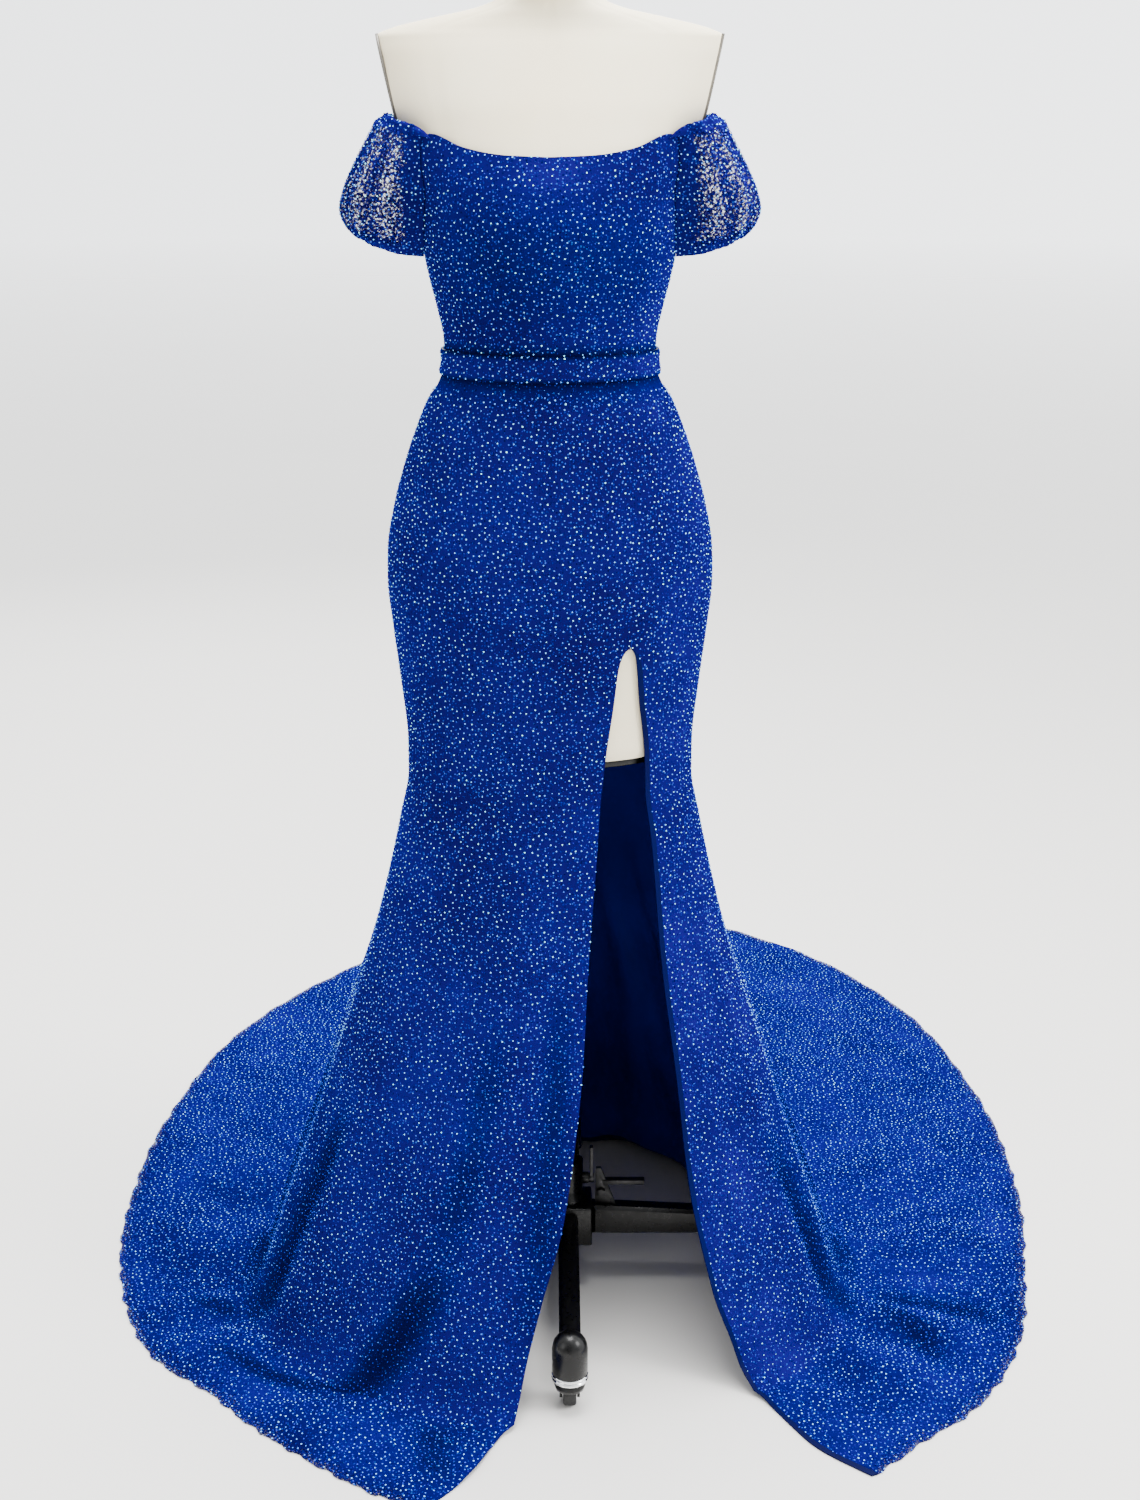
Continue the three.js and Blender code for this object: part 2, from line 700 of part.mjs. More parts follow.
// Fork: a hood under the ring, two cheeks and the axle, with room for the wheel. The wheel trails along +X.
function forkGeometry() {
  const top = domeBottom - 2 * fitGap - ringHeight;
  const cheekInner = wheelWidth / 2 + 0.7;
  const cheekWall = 3.2;
  const cheekY = cheekInner + cheekWall / 2;
  const parts = [turned([[0, 27], [16, 27], [17.5, 31], [16, top], [0, top]], 14)];
  [1, -1].forEach((side) => {
    const disc = new THREE.CylinderGeometry(7, 7, cheekWall, 12);
    parts.push(disc.translate(casterTrail, side * cheekY, wheelRadius));
    parts.push(boxAt(14, cheekWall, 15, casterTrail, side * cheekY, wheelRadius + 7.5));
  });
  const room = new THREE.CylinderGeometry(wheelRadius + 1, wheelRadius + 1, 2 * cheekInner, 16);
  const hollow = cut(join(...parts), room.translate(casterTrail, 0, wheelRadius));
  const axle = new THREE.CylinderGeometry(axleRadius, axleRadius, 2 * cheekY, 8);
  return join(hollow, axle.translate(casterTrail, 0, wheelRadius));
}

function wheelGeometry() {
  const half = wheelWidth / 2;
  const bore = axleRadius + 0.4;
  const steps = [
    [bore, -half], [wheelRadius - 2, -half], [wheelRadius, 2 - half], [wheelRadius, half - 2],
    [wheelRadius - 2, half], [bore, half], [bore, -half],
  ];
  const outline = steps.map(([radius, height]) => new THREE.Vector2(radius, height));
  return new THREE.LatheGeometry(outline, 16).translate(casterTrail, 0, wheelRadius);
}

// The four legs, each with the direction it points in and the direction its wheel trails in.
const legTable = table(['name', 'turn', 'heading'], [
  ['front', 270, 90],
  ['left', 0, 74],
  ['back', 90, 84],
  ['right', 180, 103],
]);

function addStand() {
  add('stand_hub', boxAt(hubSide, hubSide, hubTop - hubBottom, standX, 0, (hubTop + hubBottom) / 2), 'iron');
  legTable.rows.forEach(([name, turn, heading]) => {
    const a = radians(turn);
    const centre = [standX + legReach * Math.cos(a), legReach * Math.sin(a), 0];
    add(`leg_${name}`, legGeometry().rotateZ(a).translate(standX, 0, 0), 'iron');
    add(`caster_ring_${name}`, casterRing().translate(...centre), 'chrome');
    add(`caster_fork_${name}`, forkGeometry().rotateZ(radians(heading)).translate(...centre), 'iron');
    add(`caster_wheel_${name}`, wheelGeometry().rotateZ(radians(heading)).translate(...centre), 'rubber');
  });
  const poleBottom = hubTop + fitGap;
  const poleTop = formBottom - bottomPlateWall - 2 * fitGap;
  const pole = turned([[0, poleBottom], [poleRadius, poleBottom], [poleRadius, poleTop], [0, poleTop]], 20);
  add('stand_pole', pole.translate(standX, 0, 0), 'iron');
  addMechanism(poleBottom);
}

// Collar round the pole's foot with its clamp lever, and the lock bracket on the wearer's left.
function addMechanism(low) {
  const inner = poleRadius + fitGap;
  const ring = turned([
    [inner, low], [collarRadius + 6, low], [collarRadius + 6, low + 6], [collarRadius, low + 14],
    [collarRadius, low + collarHeight], [inner, low + collarHeight], [inner, low],
  ], 16);
  const screwHeight = low + 27;
  const bossLength = 8;
  const boss = new THREE.CylinderGeometry(7, 7, bossLength, 16).rotateZ(Math.PI / 2)
    .translate(collarRadius - 1 + bossLength / 2, 0, screwHeight);
  const bore = turned([[0, low - 1], [inner, low - 1], [inner, low + 60], [0, low + 60]], 16);
  add('clamp_collar', cut(join(ring, boss), bore).translate(standX, 0, 0), 'iron');
  const leverX = collarRadius - 1 + bossLength + fitGap;
  const knob = new THREE.CylinderGeometry(6, 6, 6, 16).rotateZ(Math.PI / 2).translate(leverX + 3, 0, screwHeight);
  const blade = boxAt(4, 8, 42, leverX + 3, 0, screwHeight + 21);
  add('clamp_lever', join(knob, blade).translate(standX, 0, 0), 'plate');
  const web = new THREE.Shape([
    new THREE.Vector2(33, legTop(33) + fitGap),
    new THREE.Vector2(58, legTop(58) + fitGap),
    new THREE.Vector2(40, 153),
    new THREE.Vector2(34, 153),
  ]);
  const plate = new THREE.ExtrudeGeometry(web, { depth: 5, bevelEnabled: false }).rotateX(Math.PI / 2)
    .translate(0, 2.5, 0);
  const arm = boxAt(50, 10, 5, 68, 0, 135);
  const bolt = new THREE.CylinderGeometry(6, 6, 8, 6).translate(40, -5, 122);
  add('lock_bracket', join(plate, arm, bolt).translate(standX, 0, 0), 'plate');
}

addSkirt();
addBodice();
addBelt();
addSleeves();
addZip();
addForm();
addStand();

const box = new THREE.Box3().setFromObject(group);
const centre = box.getCenter(new THREE.Vector3());
group.position.set(-centre.x, -centre.y, -box.min.z);

export default group;
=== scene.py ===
import math

import bmesh
import bpy
import numpy as np
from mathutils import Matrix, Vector, kdtree


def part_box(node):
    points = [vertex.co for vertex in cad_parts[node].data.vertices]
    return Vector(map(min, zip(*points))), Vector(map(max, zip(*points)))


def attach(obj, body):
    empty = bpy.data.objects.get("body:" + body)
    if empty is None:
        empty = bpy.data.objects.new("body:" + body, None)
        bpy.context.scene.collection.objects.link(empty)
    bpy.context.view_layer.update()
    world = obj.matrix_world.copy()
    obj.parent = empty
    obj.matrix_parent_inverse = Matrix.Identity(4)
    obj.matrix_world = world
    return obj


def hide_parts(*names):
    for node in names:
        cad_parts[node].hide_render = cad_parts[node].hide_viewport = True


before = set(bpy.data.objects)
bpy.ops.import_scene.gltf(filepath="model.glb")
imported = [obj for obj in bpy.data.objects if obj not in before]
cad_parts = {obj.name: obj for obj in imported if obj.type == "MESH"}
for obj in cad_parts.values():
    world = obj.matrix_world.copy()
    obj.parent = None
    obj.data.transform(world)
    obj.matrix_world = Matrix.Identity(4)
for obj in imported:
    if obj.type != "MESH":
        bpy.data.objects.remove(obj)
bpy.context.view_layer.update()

# Sizes are millimetres on the dress form's upright axis, as in the solids. Meshes are metres in the frame.
MM = 0.001
STAND_X = 22.0
pole_low, pole_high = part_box("stand_pole")
AXIS_X = (pole_low.x + pole_high.x) / 2 - STAND_X * MM
AXIS_Y = (pole_low.y + pole_high.y) / 2

CLOTH_WALL = 1.5
NET_WALL = 1.2
LINING_WALL = 1.0
SEAM_GAP = 0.03
FIT_GAP = 0.3
FORM_EASE = 3.0
WAIST = 1125.0
BELT_HEIGHT = 27.0
BELT_WALL = 3.2
BELT_EASE = 1.2
SLIT_APEX = 0.2635
SLIT_ROUND = 0.2705
FACING_WIDTH = 4.6
FACING_TIP = 1.6
SIDE_SEAM = 90.0
FOLD_START = 0.47
LINING_START = 0.4
LINING_END = 0.98
FORM_BOTTOM = 700.0
NECK_TOP = 1546.0
NET_BORDER = 26.0


def table(columns, rows):
    """Named columns of a short table."""
    values = np.array(rows, float)
    return {name: values[:, i] for i, name in enumerate(columns)}


SKIRT = table(["down", "height", "half", "front", "back"], [
    [0.000, 1125, 112, 92, 78],
    [0.020, 1103, 117, 95, 82],
    [0.030, 1091, 127, 99, 87],
    [0.060, 1058, 142, 105, 98],
    [0.100, 1012, 158, 112, 113],
    [0.140, 968, 170, 117, 126],
    [0.180, 922, 178, 119, 134],
    [0.215, 885, 179, 119, 136],
    [0.260, 833, 174, 116, 133],
    [0.320, 765, 166, 112, 127],
    [0.380, 700, 160, 110, 123],
    [0.410, 665, 160, 110, 123],
    [0.460, 610, 170, 115, 131],
    [0.530, 528, 188, 126, 152],
    [0.600, 450, 208, 142, 176],
    [0.680, 360, 238, 168, 212],
    [0.780, 248, 274, 205, 254],
    [0.880, 135, 314, 248, 293],
    [0.940, 68, 336, 274, 315],
    [0.975, 28, 352, 291, 330],
    [1.000, 6, 374, 312, 350],
])

# How far the hem reaches on the floor at each angle: 0 is the front, + the wearer's left.
HEM = table(["angle", "reach"], [
    [-190, 1218], [-180, 1216], [-170, 1140], [-160, 1020], [-145, 858], [-130, 712], [-110, 594],
    [-90, 533], [-70, 494], [-55, 452], [-40, 448], [-17, 468], [0, 480], [20, 500], [41, 521],
    [50, 525], [60, 548], [75, 570], [90, 590], [110, 668], [130, 815], [145, 985], [160, 1150],
    [170, 1218], [180, 1216], [190, 1140],
])

SLIT = table(["down", "right", "left"], [
    [0.000, 29.5, 29.5],
    [SLIT_APEX, 29.5, 29.5],
    [SLIT_ROUND, 26.8, 32.0],
    [0.285, 25.4, 33.4],
    [0.315, 24.6, 35.4],
    [0.380, 22.0, 40.5],
    [0.450, 18.5, 41.2],
    [0.560, 13.0, 38.5],
    [0.700, 8.0, 35.5],
    [0.820, 3.0, 33.6],
    [0.900, -2.0, 34.6],
    [0.965, -5.0, 37.3],
    [1.100, -8.0, 38.5],
    [1.500, -11.0, 38.3],
    [2.000, -16.5, 41.0],
])

SIDES = table(["down", "right", "left"], [
    [0.0, -SIDE_SEAM, SIDE_SEAM],
    [0.6, -SIDE_SEAM, SIDE_SEAM],
    [1.0, -89, 86],
    [2.0, -88, 81],
])

# Largest folds: three angles, a half width in degrees, and how far they stand out upright and lying.
FOLDS = [
    [-4, -32, -38, 14, 15, 11],
    [-46, -62, -66, 13, 9, 17],
    [-78, -79, -80, 8, 5, 11],
    [-101, -101, -100, 12, 9, 17],
    [-124, -124, -124, 12, 12, 14],
    [-146, -146, -145, 13, 14, 12],
    [-167, -165, -162, 8, 11, 9],
    [167, 165, 162, 8, 11, 9],
    [146, 146, 145, 13, 12, 13],
    [123, 122, 122, 12, 10, 15],
    [101, 99, 99, 10, 8, 16],
    [82, 76, 73, 7, 5, 12],
    [65, 61, 60, 9, 7, 14],
]
FOLD_STATIONS = [FOLD_START, 0.90, 1.0, 1.12, 1.4, 1.75, 1.93, 2]

# Creases finer than the folds: an angle and a station at each end, a half width in degrees, and how far
# the crease stands out. Below 0 it is a hollow: it goes in, and on the floor it only lies in shadow.
CREASES = [
    [-26, 0.66, -36, 0.96, 6.5, 4.0],
    [-14, 0.62, -24, 0.92, 6.5, -2.5],
    [-20, 0.84, -47, 1.12, 8.0, -6.5],
    [-42, 1.00, -66, 1.66, 7.0, -5.0],
    [-30, 1.00, -50, 1.80, 6.0, 5.0],
    [-56, 0.96, -72, 1.50, 6.5, 4.5],
    [-60, 0.72, -77, 1.08, 9.0, -6.0],
    [-74, 1.00, -82, 1.55, 5.0, -3.2],
    [-89, 1.10, -89, 1.97, 4.0, 2.4],
    [4, 0.58, -5, 0.97, 5.5, -3.0],
    [12, 0.62, 4, 1.00, 5.0, 2.5],
    [-4, 0.54, -15, 0.90, 6.0, 2.5],
    [-20, 1.04, -16, 1.70, 5.0, -3.0],
    [-12, 1.06, -10, 1.85, 4.5, 4.0],
    [64, 0.76, 78, 1.06, 8.5, -5.0],
    [83, 1.04, 80, 1.97, 4.0, -4.2],
    [80, 1.06, 64, 1.76, 4.6, -3.6],
    [75, 1.05, 72, 1.88, 3.8, 3.4],
    [88, 1.05, 86, 1.93, 3.4, 3.4],
    [60, 1.05, 57, 1.88, 4.2, 3.0],
    [48, 1.00, 47, 1.80, 3.6, 3.0],
    [44, 0.60, 45, 0.94, 4.5, 2.5],
    [92, 1.03, 93, 1.90, 2.6, 4.5],
    [106, 1.05, 111, 1.90, 3.4, 5.0],
    [115, 1.10, 119, 1.80, 3.0, 4.0],
    [131, 1.04, 134, 1.85, 3.6, 4.5],
    [139, 1.10, 142, 1.70, 2.6, 3.5],
    [154, 1.05, 156, 1.90, 3.0, 4.0],
    [171, 1.06, 172, 1.75, 2.2, 3.5],
    [-108, 1.04, -112, 1.85, 3.6, 4.5],
    [-117, 1.08, -119, 1.70, 2.8, 4.0],
    [-134, 1.05, -136, 1.90, 3.4, 4.5],
    [-152, 1.06, -155, 1.80, 3.2, 4.0],
    [-172, 1.05, -174, 1.85, 2.4, 3.5],
    [110, 0.60, 114, 0.98, 5.0, -5.0],
    [134, 0.58, 136, 1.00, 5.5, -5.5],
    [156, 0.62, 157, 1.00, 5.0, -5.0],
    [-112, 0.62, -114, 0.99, 5.0, -5.0],
    [-136, 0.58, -137, 1.00, 5.5, -6.0],
    [-157, 0.60, -156, 1.00, 5.0, -4.5],
    [179, 0.66, 178, 1.00, 4.0, -4.0],
]

DEEPEST_HOLLOW = 6.5

BODY = table(["height", "half", "front", "back"], [
    [1125, 112, 92, 78],
    [1150, 113, 93, 79],
    [1180, 119, 100, 84],
    [1210, 126.5, 112, 90],
    [1240, 132.5, 126, 95],
    [1270, 135.5, 134, 98],
    [1300, 139, 131, 101],
    [1330, 150, 119, 100],
    [1366, 161, 103, 97],
])

TOP_EDGE = table(["angle", "height"], [
    [0, 1338], [18, 1340], [34, 1347], [49, 1360], [60, 1352], [75, 1310], [90, 1296], [105, 1304],
    [120, 1328], [130, 1336], [145, 1322], [162, 1308], [180, 1302],
])

SHOULDER = table(["height", "half", "front", "back"], [
    [1366, 158, 100, 94],
    [1385, 166, 91, 94],
    [1405, 172, 80, 91],
    [1428, 177, 67, 85],
    [1445, 180, 57, 78],
    [1456, 180, 50, 71],
    [1464, 164, 46, 64],
    [1474, 122, 44, 57],
    [1484, 76, 45, 54],
    [1492, 57, 48, 56],
    [1506, 52, 46, 54],
    [NECK_TOP, 51, 45, 52],
])
ARM_PLANE_HEIGHT = 1376.0
ARM_PLANE_HALF = 158.5
ARM_PLANE_LEAN = 0.2256

SLEEVE = table(["station", "out", "height", "front", "back", "bulge", "rise", "gather"], [
    [0.00, 163, 1362, 1355, 1330, 0, 0.40, 0.3],
    [0.06, 165, 1372, 1360, 1334, 2, 0.40, 0.8],
    [0.12, 171, 1377, 1361, 1335, 4, 0.40, 1.2],
    [0.19, 179, 1371, 1356, 1331, 7, 0.45, 1.9],
    [0.30, 192, 1349, 1342, 1325, 11, 0.55, 2.4],
    [0.44, 207, 1322, 1320, 1307, 15, 0.70, 2.4],
    [0.58, 217, 1300, 1297, 1288, 17, 0.90, 2.0],
    [0.72, 221, 1283, 1275, 1270, 16, 1.10, 1.6],
    [0.86, 216, 1268, 1254, 1252, 12, 1.35, 1.1],
    [1.00, 207, 1258, 1236, 1236, 7, 1.60, 0.7],
])
SLEEVE_FRONT = (49.0, 80.0)
SLEEVE_BACK = (130.0, 100.0)
SLEEVE_GATHERS = 7
SLEEVE_EASE = 1.3


# Surfaces

def mix(a, b, t):
    return a + (b - a) * t


def smooth(t):
    t = np.clip(t, 0, 1)
    return t * t * (3 - 2 * t)


def curve(x, xs, ys):
    """Smooth curve through points, with no overshoot between them."""
    x = np.asarray(x, float)
    xs = np.asarray(xs, float)
    ys = np.asarray(ys, float)
    slopes = np.diff(ys) / np.diff(xs)
    tangents = np.zeros(len(xs))
    tangents[0], tangents[-1] = slopes[0], slopes[-1]
    before, after = slopes[:-1], slopes[1:]
    turning = before * after <= 0
    total = np.where(turning, 1.0, before + after)
    tangents[1:-1] = np.where(turning, 0.0, 2 * before * after / total)
    k = np.clip(np.searchsorted(xs, x, side="right") - 1, 0, len(xs) - 2)
    step = xs[k + 1] - xs[k]
    t = np.clip((x - xs[k]) / step, 0, 1)
    return ((2 * t**3 - 3 * t**2 + 1) * ys[k] + (t**3 - 2 * t**2 + t) * step * tangents[k]
            + (3 * t**2 - 2 * t**3) * ys[k + 1] + (t**3 - t**2) * step * tangents[k + 1])


def read(values, key, at, names=("half", "front", "back")):
    """Named columns of a table, each as a smooth curve over its key column."""
    order = slice(None) if values[key][-1] > values[key][0] else slice(None, None, -1)
    return [curve(at, values[key][order], values[name][order]) for name in names]


def unit(vectors):
    return vectors / np.maximum(np.linalg.norm(vectors, axis=-1, keepdims=True), 1e-12)


def oval(angle, half, front, back, height):
    a = np.radians(angle)
    depth = np.where(np.cos(a) > 0, front, back)
    return np.stack(np.broadcast_arrays(half * np.sin(a), -depth * np.cos(a), height), -1)


def normal_of(surface, a, b, step_a, step_b):
    along_a = surface(a + step_a, b) - surface(a - step_a, b)
    along_b = surface(a, b + step_b) - surface(a, b - step_b)
    return unit(np.cross(along_b, along_a))


def plain_skirt(angle, down):
    """Inner face with no folds: down 0 to 1 is upright, 1 to 2 lies on the floor."""
    upright = np.minimum(down, 1.0)
    half, front, back, height = read(SKIRT, "down", upright, ("half", "front", "back", "height"))
    point = oval(angle, half, front, back, height)
    lying = np.clip(down - 1.0, 0.0, 1.0)
    a = np.radians(angle)
    ragged = 1.5 * np.sin(71 * a) + 1.2 * np.sin(119 * a + 1) - 1.2
    reach = curve(angle, HEM["angle"], HEM["reach"]) + ragged * smooth((lying - 0.93) / 0.07)
    point[..., 0] = mix(point[..., 0], reach * np.sin(a), lying)
    point[..., 1] = mix(point[..., 1], -reach * np.cos(a), lying)
    point[..., 2] *= np.maximum(0, 1 - lying / 0.25) ** 2
    return point


def turn_between(angle, centre):
    return np.abs((angle - centre + 540) % 360 - 180)


def crest(angle, centre, spread):
    """1 along the middle of a fold, down to 0 at its half width."""
    return np.cos(np.minimum(turn_between(angle, centre) / spread, 1) * math.pi / 2) ** 2


def fold_height(angle, down):
    total = np.zeros(np.broadcast(angle, down).shape)
    t = (down - FOLD_START) / (1 - FOLD_START)
    for knee, floor, hem, spread, upright, lying in FOLDS:
        centre = np.where(down < 1, mix(knee, floor, t), mix(floor, hem, down - 1))
        size = curve(down, FOLD_STATIONS,
                     [0, upright, 0.55 * upright, 0.6 * lying, lying, 0.5 * lying, 0, 0])
        total += size * crest(angle, centre, spread)
    return np.where(down <= FOLD_START, 0.0, total)


def crease_heights(angle, down):
    """How far the creases stand out, and how far the hollows go in, at each place."""
    ridge = np.zeros(np.broadcast(angle, down).shape)
    hollow = np.zeros(ridge.shape)
    for angle0, down0, angle1, down1, spread, out in CREASES:
        t = (down - down0) / (down1 - down0)
        centre = mix(angle0, angle1, np.clip(t, 0, 1))
        fade = smooth(t / 0.3) * smooth((1 - t) / 0.4)
        size = abs(out) * fade * crest(angle, centre, spread)
        if out > 0:
            ridge += size
        else:
            hollow = np.maximum(hollow, size)
    return ridge, hollow


def skirt_point(angle, down, out):
    at = np.clip(down, 0.003, 1.997)
    normal = normal_of(plain_skirt, angle, at, 0.25, 0.002)
    ridge, hollow = crease_heights(angle, down)
    raised = fold_height(angle, down) + ridge - hollow * smooth((1.03 - down) / 0.1) + out
    return plain_skirt(angle, down) + normal * raised[..., None]


def skirt_shadow(angle, down):
    """Painted shade: 0 in the open, near 1 deep in a hollow and under the belt, a little on the cloth's sides
    and on the floor.
    """
    under_belt = 0.8 * np.exp(-((down - 0.014) / 0.008) ** 2)
    lying = 0.20 * smooth((down - 0.97) / 0.12)
    turning = 0.75 * np.exp(-((np.abs(angle) - 102) / 20) ** 2)
    turning = turning * smooth((down - 0.7) / 0.1) * smooth((1.07 - down) / 0.08)
    hollow = crease_heights(angle, down)[1] / DEEPEST_HOLLOW
    return np.clip(np.maximum(hollow, under_belt) + lying + turning, 0, 1)


def plain_bodice(angle, height):
    return oval(angle, *read(BODY, "height", height), height)


def bodice_point(angle, height, out):
    at = np.clip(height, WAIST + 2, 1364)
    normal = normal_of(plain_bodice, angle, at, 0.25, -2.0)
    normal[..., 2] = 0
    return plain_bodice(angle, height) + unit(normal) * np.asarray(out)[..., None]


def top_edge(angle):
    return curve(np.abs(angle), TOP_EDGE["angle"], TOP_EDGE["height"])


def section_at(height):
    """Half width, front depth and back depth of the gown's inner face at a height."""
    upper = read(BODY, "height", height)
    lower = read(SKIRT, "height", height)
    return [np.where(height >= WAIST, u, v) for u, v in zip(upper, lower)]


def form_section(height):
    shoulder = read(SHOULDER, "height", height)
    above = height > SHOULDER["height"][0]
    return [np.where(above, s, b - FORM_EASE) for s, b in zip(shoulder, section_at(height))]


def sleeve_surface(around, station):
    names = ("out", "height", "front", "back", "bulge", "rise")
    out, height, front, back, bulge, rise = read(SLEEVE, "station", station, names)
    lift = np.full(np.broadcast(around, station).shape, CLOTH_WALL + SLEEVE_EASE)
    start = bodice_point(mix(*SLEEVE_FRONT, station) + 0 * around, front + 0 * around, lift)
    end = bodice_point(mix(*SLEEVE_BACK, station) + 0 * around, back + 0 * around, lift)
    arch = np.maximum(0, np.sin(math.pi * around))
    side = mix(start[..., 0], end[..., 0], around)
    middle = (start[..., 1] + end[..., 1]) / 2
    depth = (end[..., 1] - start[..., 1]) / 2
    x = side + (out - side) * arch**0.8
    y = middle - depth * np.cos(math.pi * around) - bulge * np.sin(2 * math.pi * around)
    base = mix(front, back, around)
    return np.stack([x, y, base + (height - base) * arch**rise], -1)


def sleeve_point(around, station, out):
    a = np.clip(around, 0.02, 0.98)
    b = np.clip(station, 0.01, 0.99)
    normal = normal_of(sleeve_surface, a, b, 0.01, 0.005)
    gather = curve(station, SLEEVE["station"], SLEEVE["gather"])
    fade = np.maximum(0, np.sin(math.pi * around)) ** 0.5
    wave = gather * fade * np.cos(2 * math.pi * SLEEVE_GATHERS * around + 2.2 * station)
    fine = 0.5 * fade * np.cos(2 * math.pi * 23 * around + 5.0 * station)
    ends = smooth((0.45 - station) / 0.45) + smooth((station - 0.7) / 0.3)
    rolls = 1.3 * fade * smooth((0.26 - station) / 0.1)
    rolls = rolls * np.cos(2 * math.pi * (station / 0.085 + 1.6 * around))
    return sleeve_surface(around, station) + normal * (wave + fine * ends + rolls + out)[..., None]


# Meshes

def to_frame(points):
    placed = np.asarray(points, float) * MM
    placed[..., 0] += AXIS_X
    placed[..., 1] += AXIS_Y
    return placed


def mesh_from(name, points, faces):
    """Object from points in the frame, in metres, and an array of triangles or quads."""
    points = np.asarray(points, np.float32).reshape(-1, 3)
    faces = np.asarray(faces, np.int32)
    mesh = bpy.data.meshes.new(name)
    mesh.vertices.add(len(points))
    mesh.vertices.foreach_set("co", points.ravel())
    mesh.loops.add(faces.size)
    mesh.loops.foreach_set("vertex_index", faces.ravel())
    mesh.polygons.add(len(faces))
    mesh.polygons.foreach_set("loop_start", np.arange(len(faces), dtype=np.int32) * faces.shape[1])
    mesh.update(calc_edges=True)
    mesh.validate()
    obj = bpy.data.objects.new(name, mesh)
    bpy.context.scene.collection.objects.link(obj)
    mesh.polygons.foreach_set("use_smooth", np.ones(len(mesh.polygons), bool))
    return obj


def grid_faces(rows, columns, start, flip):
    i, j = np.meshgrid(np.arange(rows - 1), np.arange(columns - 1), indexing="ij")
    a = start + i * columns + j
    quads = np.stack([a, a + 1, a + columns + 1, a + columns], -1).reshape(-1, 4)
    return quads[:, ::-1] if flip else quads


def shell(name, inner, outer, materials, sharp=50):
    """Closed thin shell between two grids. Its outer face takes the first material, the rest the second."""
    rows, columns = inner.shape[:2]
    count = rows * columns
    points = to_frame(np.concatenate([inner.reshape(-1, 3), outer.reshape(-1, 3)]))
    outside = grid_faces(rows, columns, count, False)
    inside = grid_faces(rows, columns, 0, True)
    top = np.arange(columns)
    end = top + (rows - 1) * columns
    first = np.arange(rows) * columns
    last = first + columns - 1
    rims = []
    for line, flip in ((top, True), (end, False), (first, False), (last, True)):
        a, b = line[:-1], line[1:]
        quad = np.stack([a, b, b + count, a + count], -1)
        rims.append(quad[:, ::-1] if flip else quad)
    faces = np.concatenate([outside, inside, *rims])
    if signed_volume(points, faces) < 0:
        faces = faces[:, ::-1]
    obj = mesh_from(name, points, faces)
    for material in materials:
        obj.data.materials.append(material)
    index = np.zeros(len(faces), np.int32)
    index[len(outside):] = 1
    obj.data.polygons.foreach_set("material_index", np.minimum(index, len(materials) - 1))
    obj.data.set_sharp_from_angle(angle=math.radians(sharp))
    return obj


def signed_volume(points, faces):
    a, b, c = points[faces[:, 0]], points[faces[:, 1]], points[faces[:, 2]]
    total = np.einsum("ij,ij->i", a, np.cross(b, c)).sum()
    if faces.shape[1] == 4:
        d = points[faces[:, 3]]
        total += np.einsum("ij,ij->i", a, np.cross(c, d)).sum()
    return total


def add_attribute(obj, name, values):
    layer = obj.data.attributes.new(name, "FLOAT", "POINT")
    layer.data.foreach_set("value", np.asarray(values, np.float32).ravel())


def finish_piece(obj, nodes=(), body="root"):
    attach(obj, body)
    if nodes:
        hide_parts(*nodes)
    return obj


# Materials

def new_material(name):
    material = bpy.data.materials.new(name)
    material.use_nodes = True
    nodes = material.node_tree.nodes
    nodes.clear()
    output = nodes.new("ShaderNodeOutputMaterial")
    shader = nodes.new("ShaderNodeBsdfPrincipled")
    material.node_tree.links.new(shader.outputs["BSDF"], output.inputs["Surface"])
    return material, nodes, material.node_tree.links, shader


def coordinates(nodes):
    return nodes.new("ShaderNodeTexCoord").outputs["Object"]


def noise(nodes, links, place, scale, detail=3.0, rough=0.55):
    node = nodes.new("ShaderNodeTexNoise")
    node.inputs["Scale"].default_value = scale
    node.inputs["Detail"].default_value = detail
    node.inputs["Roughness"].default_value = rough
    links.new(place, node.inputs["Vector"])
    return node.outputs["Fac"]


def ramp(nodes, links, value, stops):
    node = nodes.new("ShaderNodeValToRGB")
    elements = node.color_ramp.elements
    while len(elements) > 1:
        elements.remove(elements[-1])
    for i, (position, color) in enumerate(stops):
        element = elements[0] if i == 0 else elements.new(position)
        element.position = position
        element.color = (*color, 1.0) if len(color) == 3 else color
    links.new(value, node.inputs["Fac"])
    return node.outputs["Color"]


def grey(value):
    return (value, value, value)


def math_node(nodes, links, operation, a, b, clamp=False):
    node = nodes.new("ShaderNodeMath")
    node.operation = operation
    node.use_clamp = clamp
    for socket, value in zip(node.inputs, (a, b)):
        if isinstance(value, (int, float)):
            socket.default_value = value
        else:
            links.new(value, socket)
    return node.outputs[0]


def bump(nodes, links, height, strength, distance, normal=None):
    node = nodes.new("ShaderNodeBump")
    node.inputs["Strength"].default_value = strength
    node.inputs["Distance"].default_value = distance
    links.new(height, node.inputs["Height"])
    if normal is not None:
        links.new(normal, node.inputs["Normal"])
    return node.outputs["Normal"]


def mix_color(nodes, links, factor, a, b, blend="MIX"):
    node = nodes.new("ShaderNodeMix")
    node.data_type = "RGBA"
    node.blend_type = blend
    for name, kind, value in (("Factor", "VALUE", factor), ("A", "RGBA", a), ("B", "RGBA", b)):
        socket = next(s for s in node.inputs if s.name == name and s.type == kind)
        if isinstance(value, (int, float)):
            socket.default_value = value
        elif isinstance(value, tuple):
            socket.default_value = (*value, 1.0)
        else:
            links.new(value, socket)
    return next(s for s in node.outputs if s.type == "RGBA")


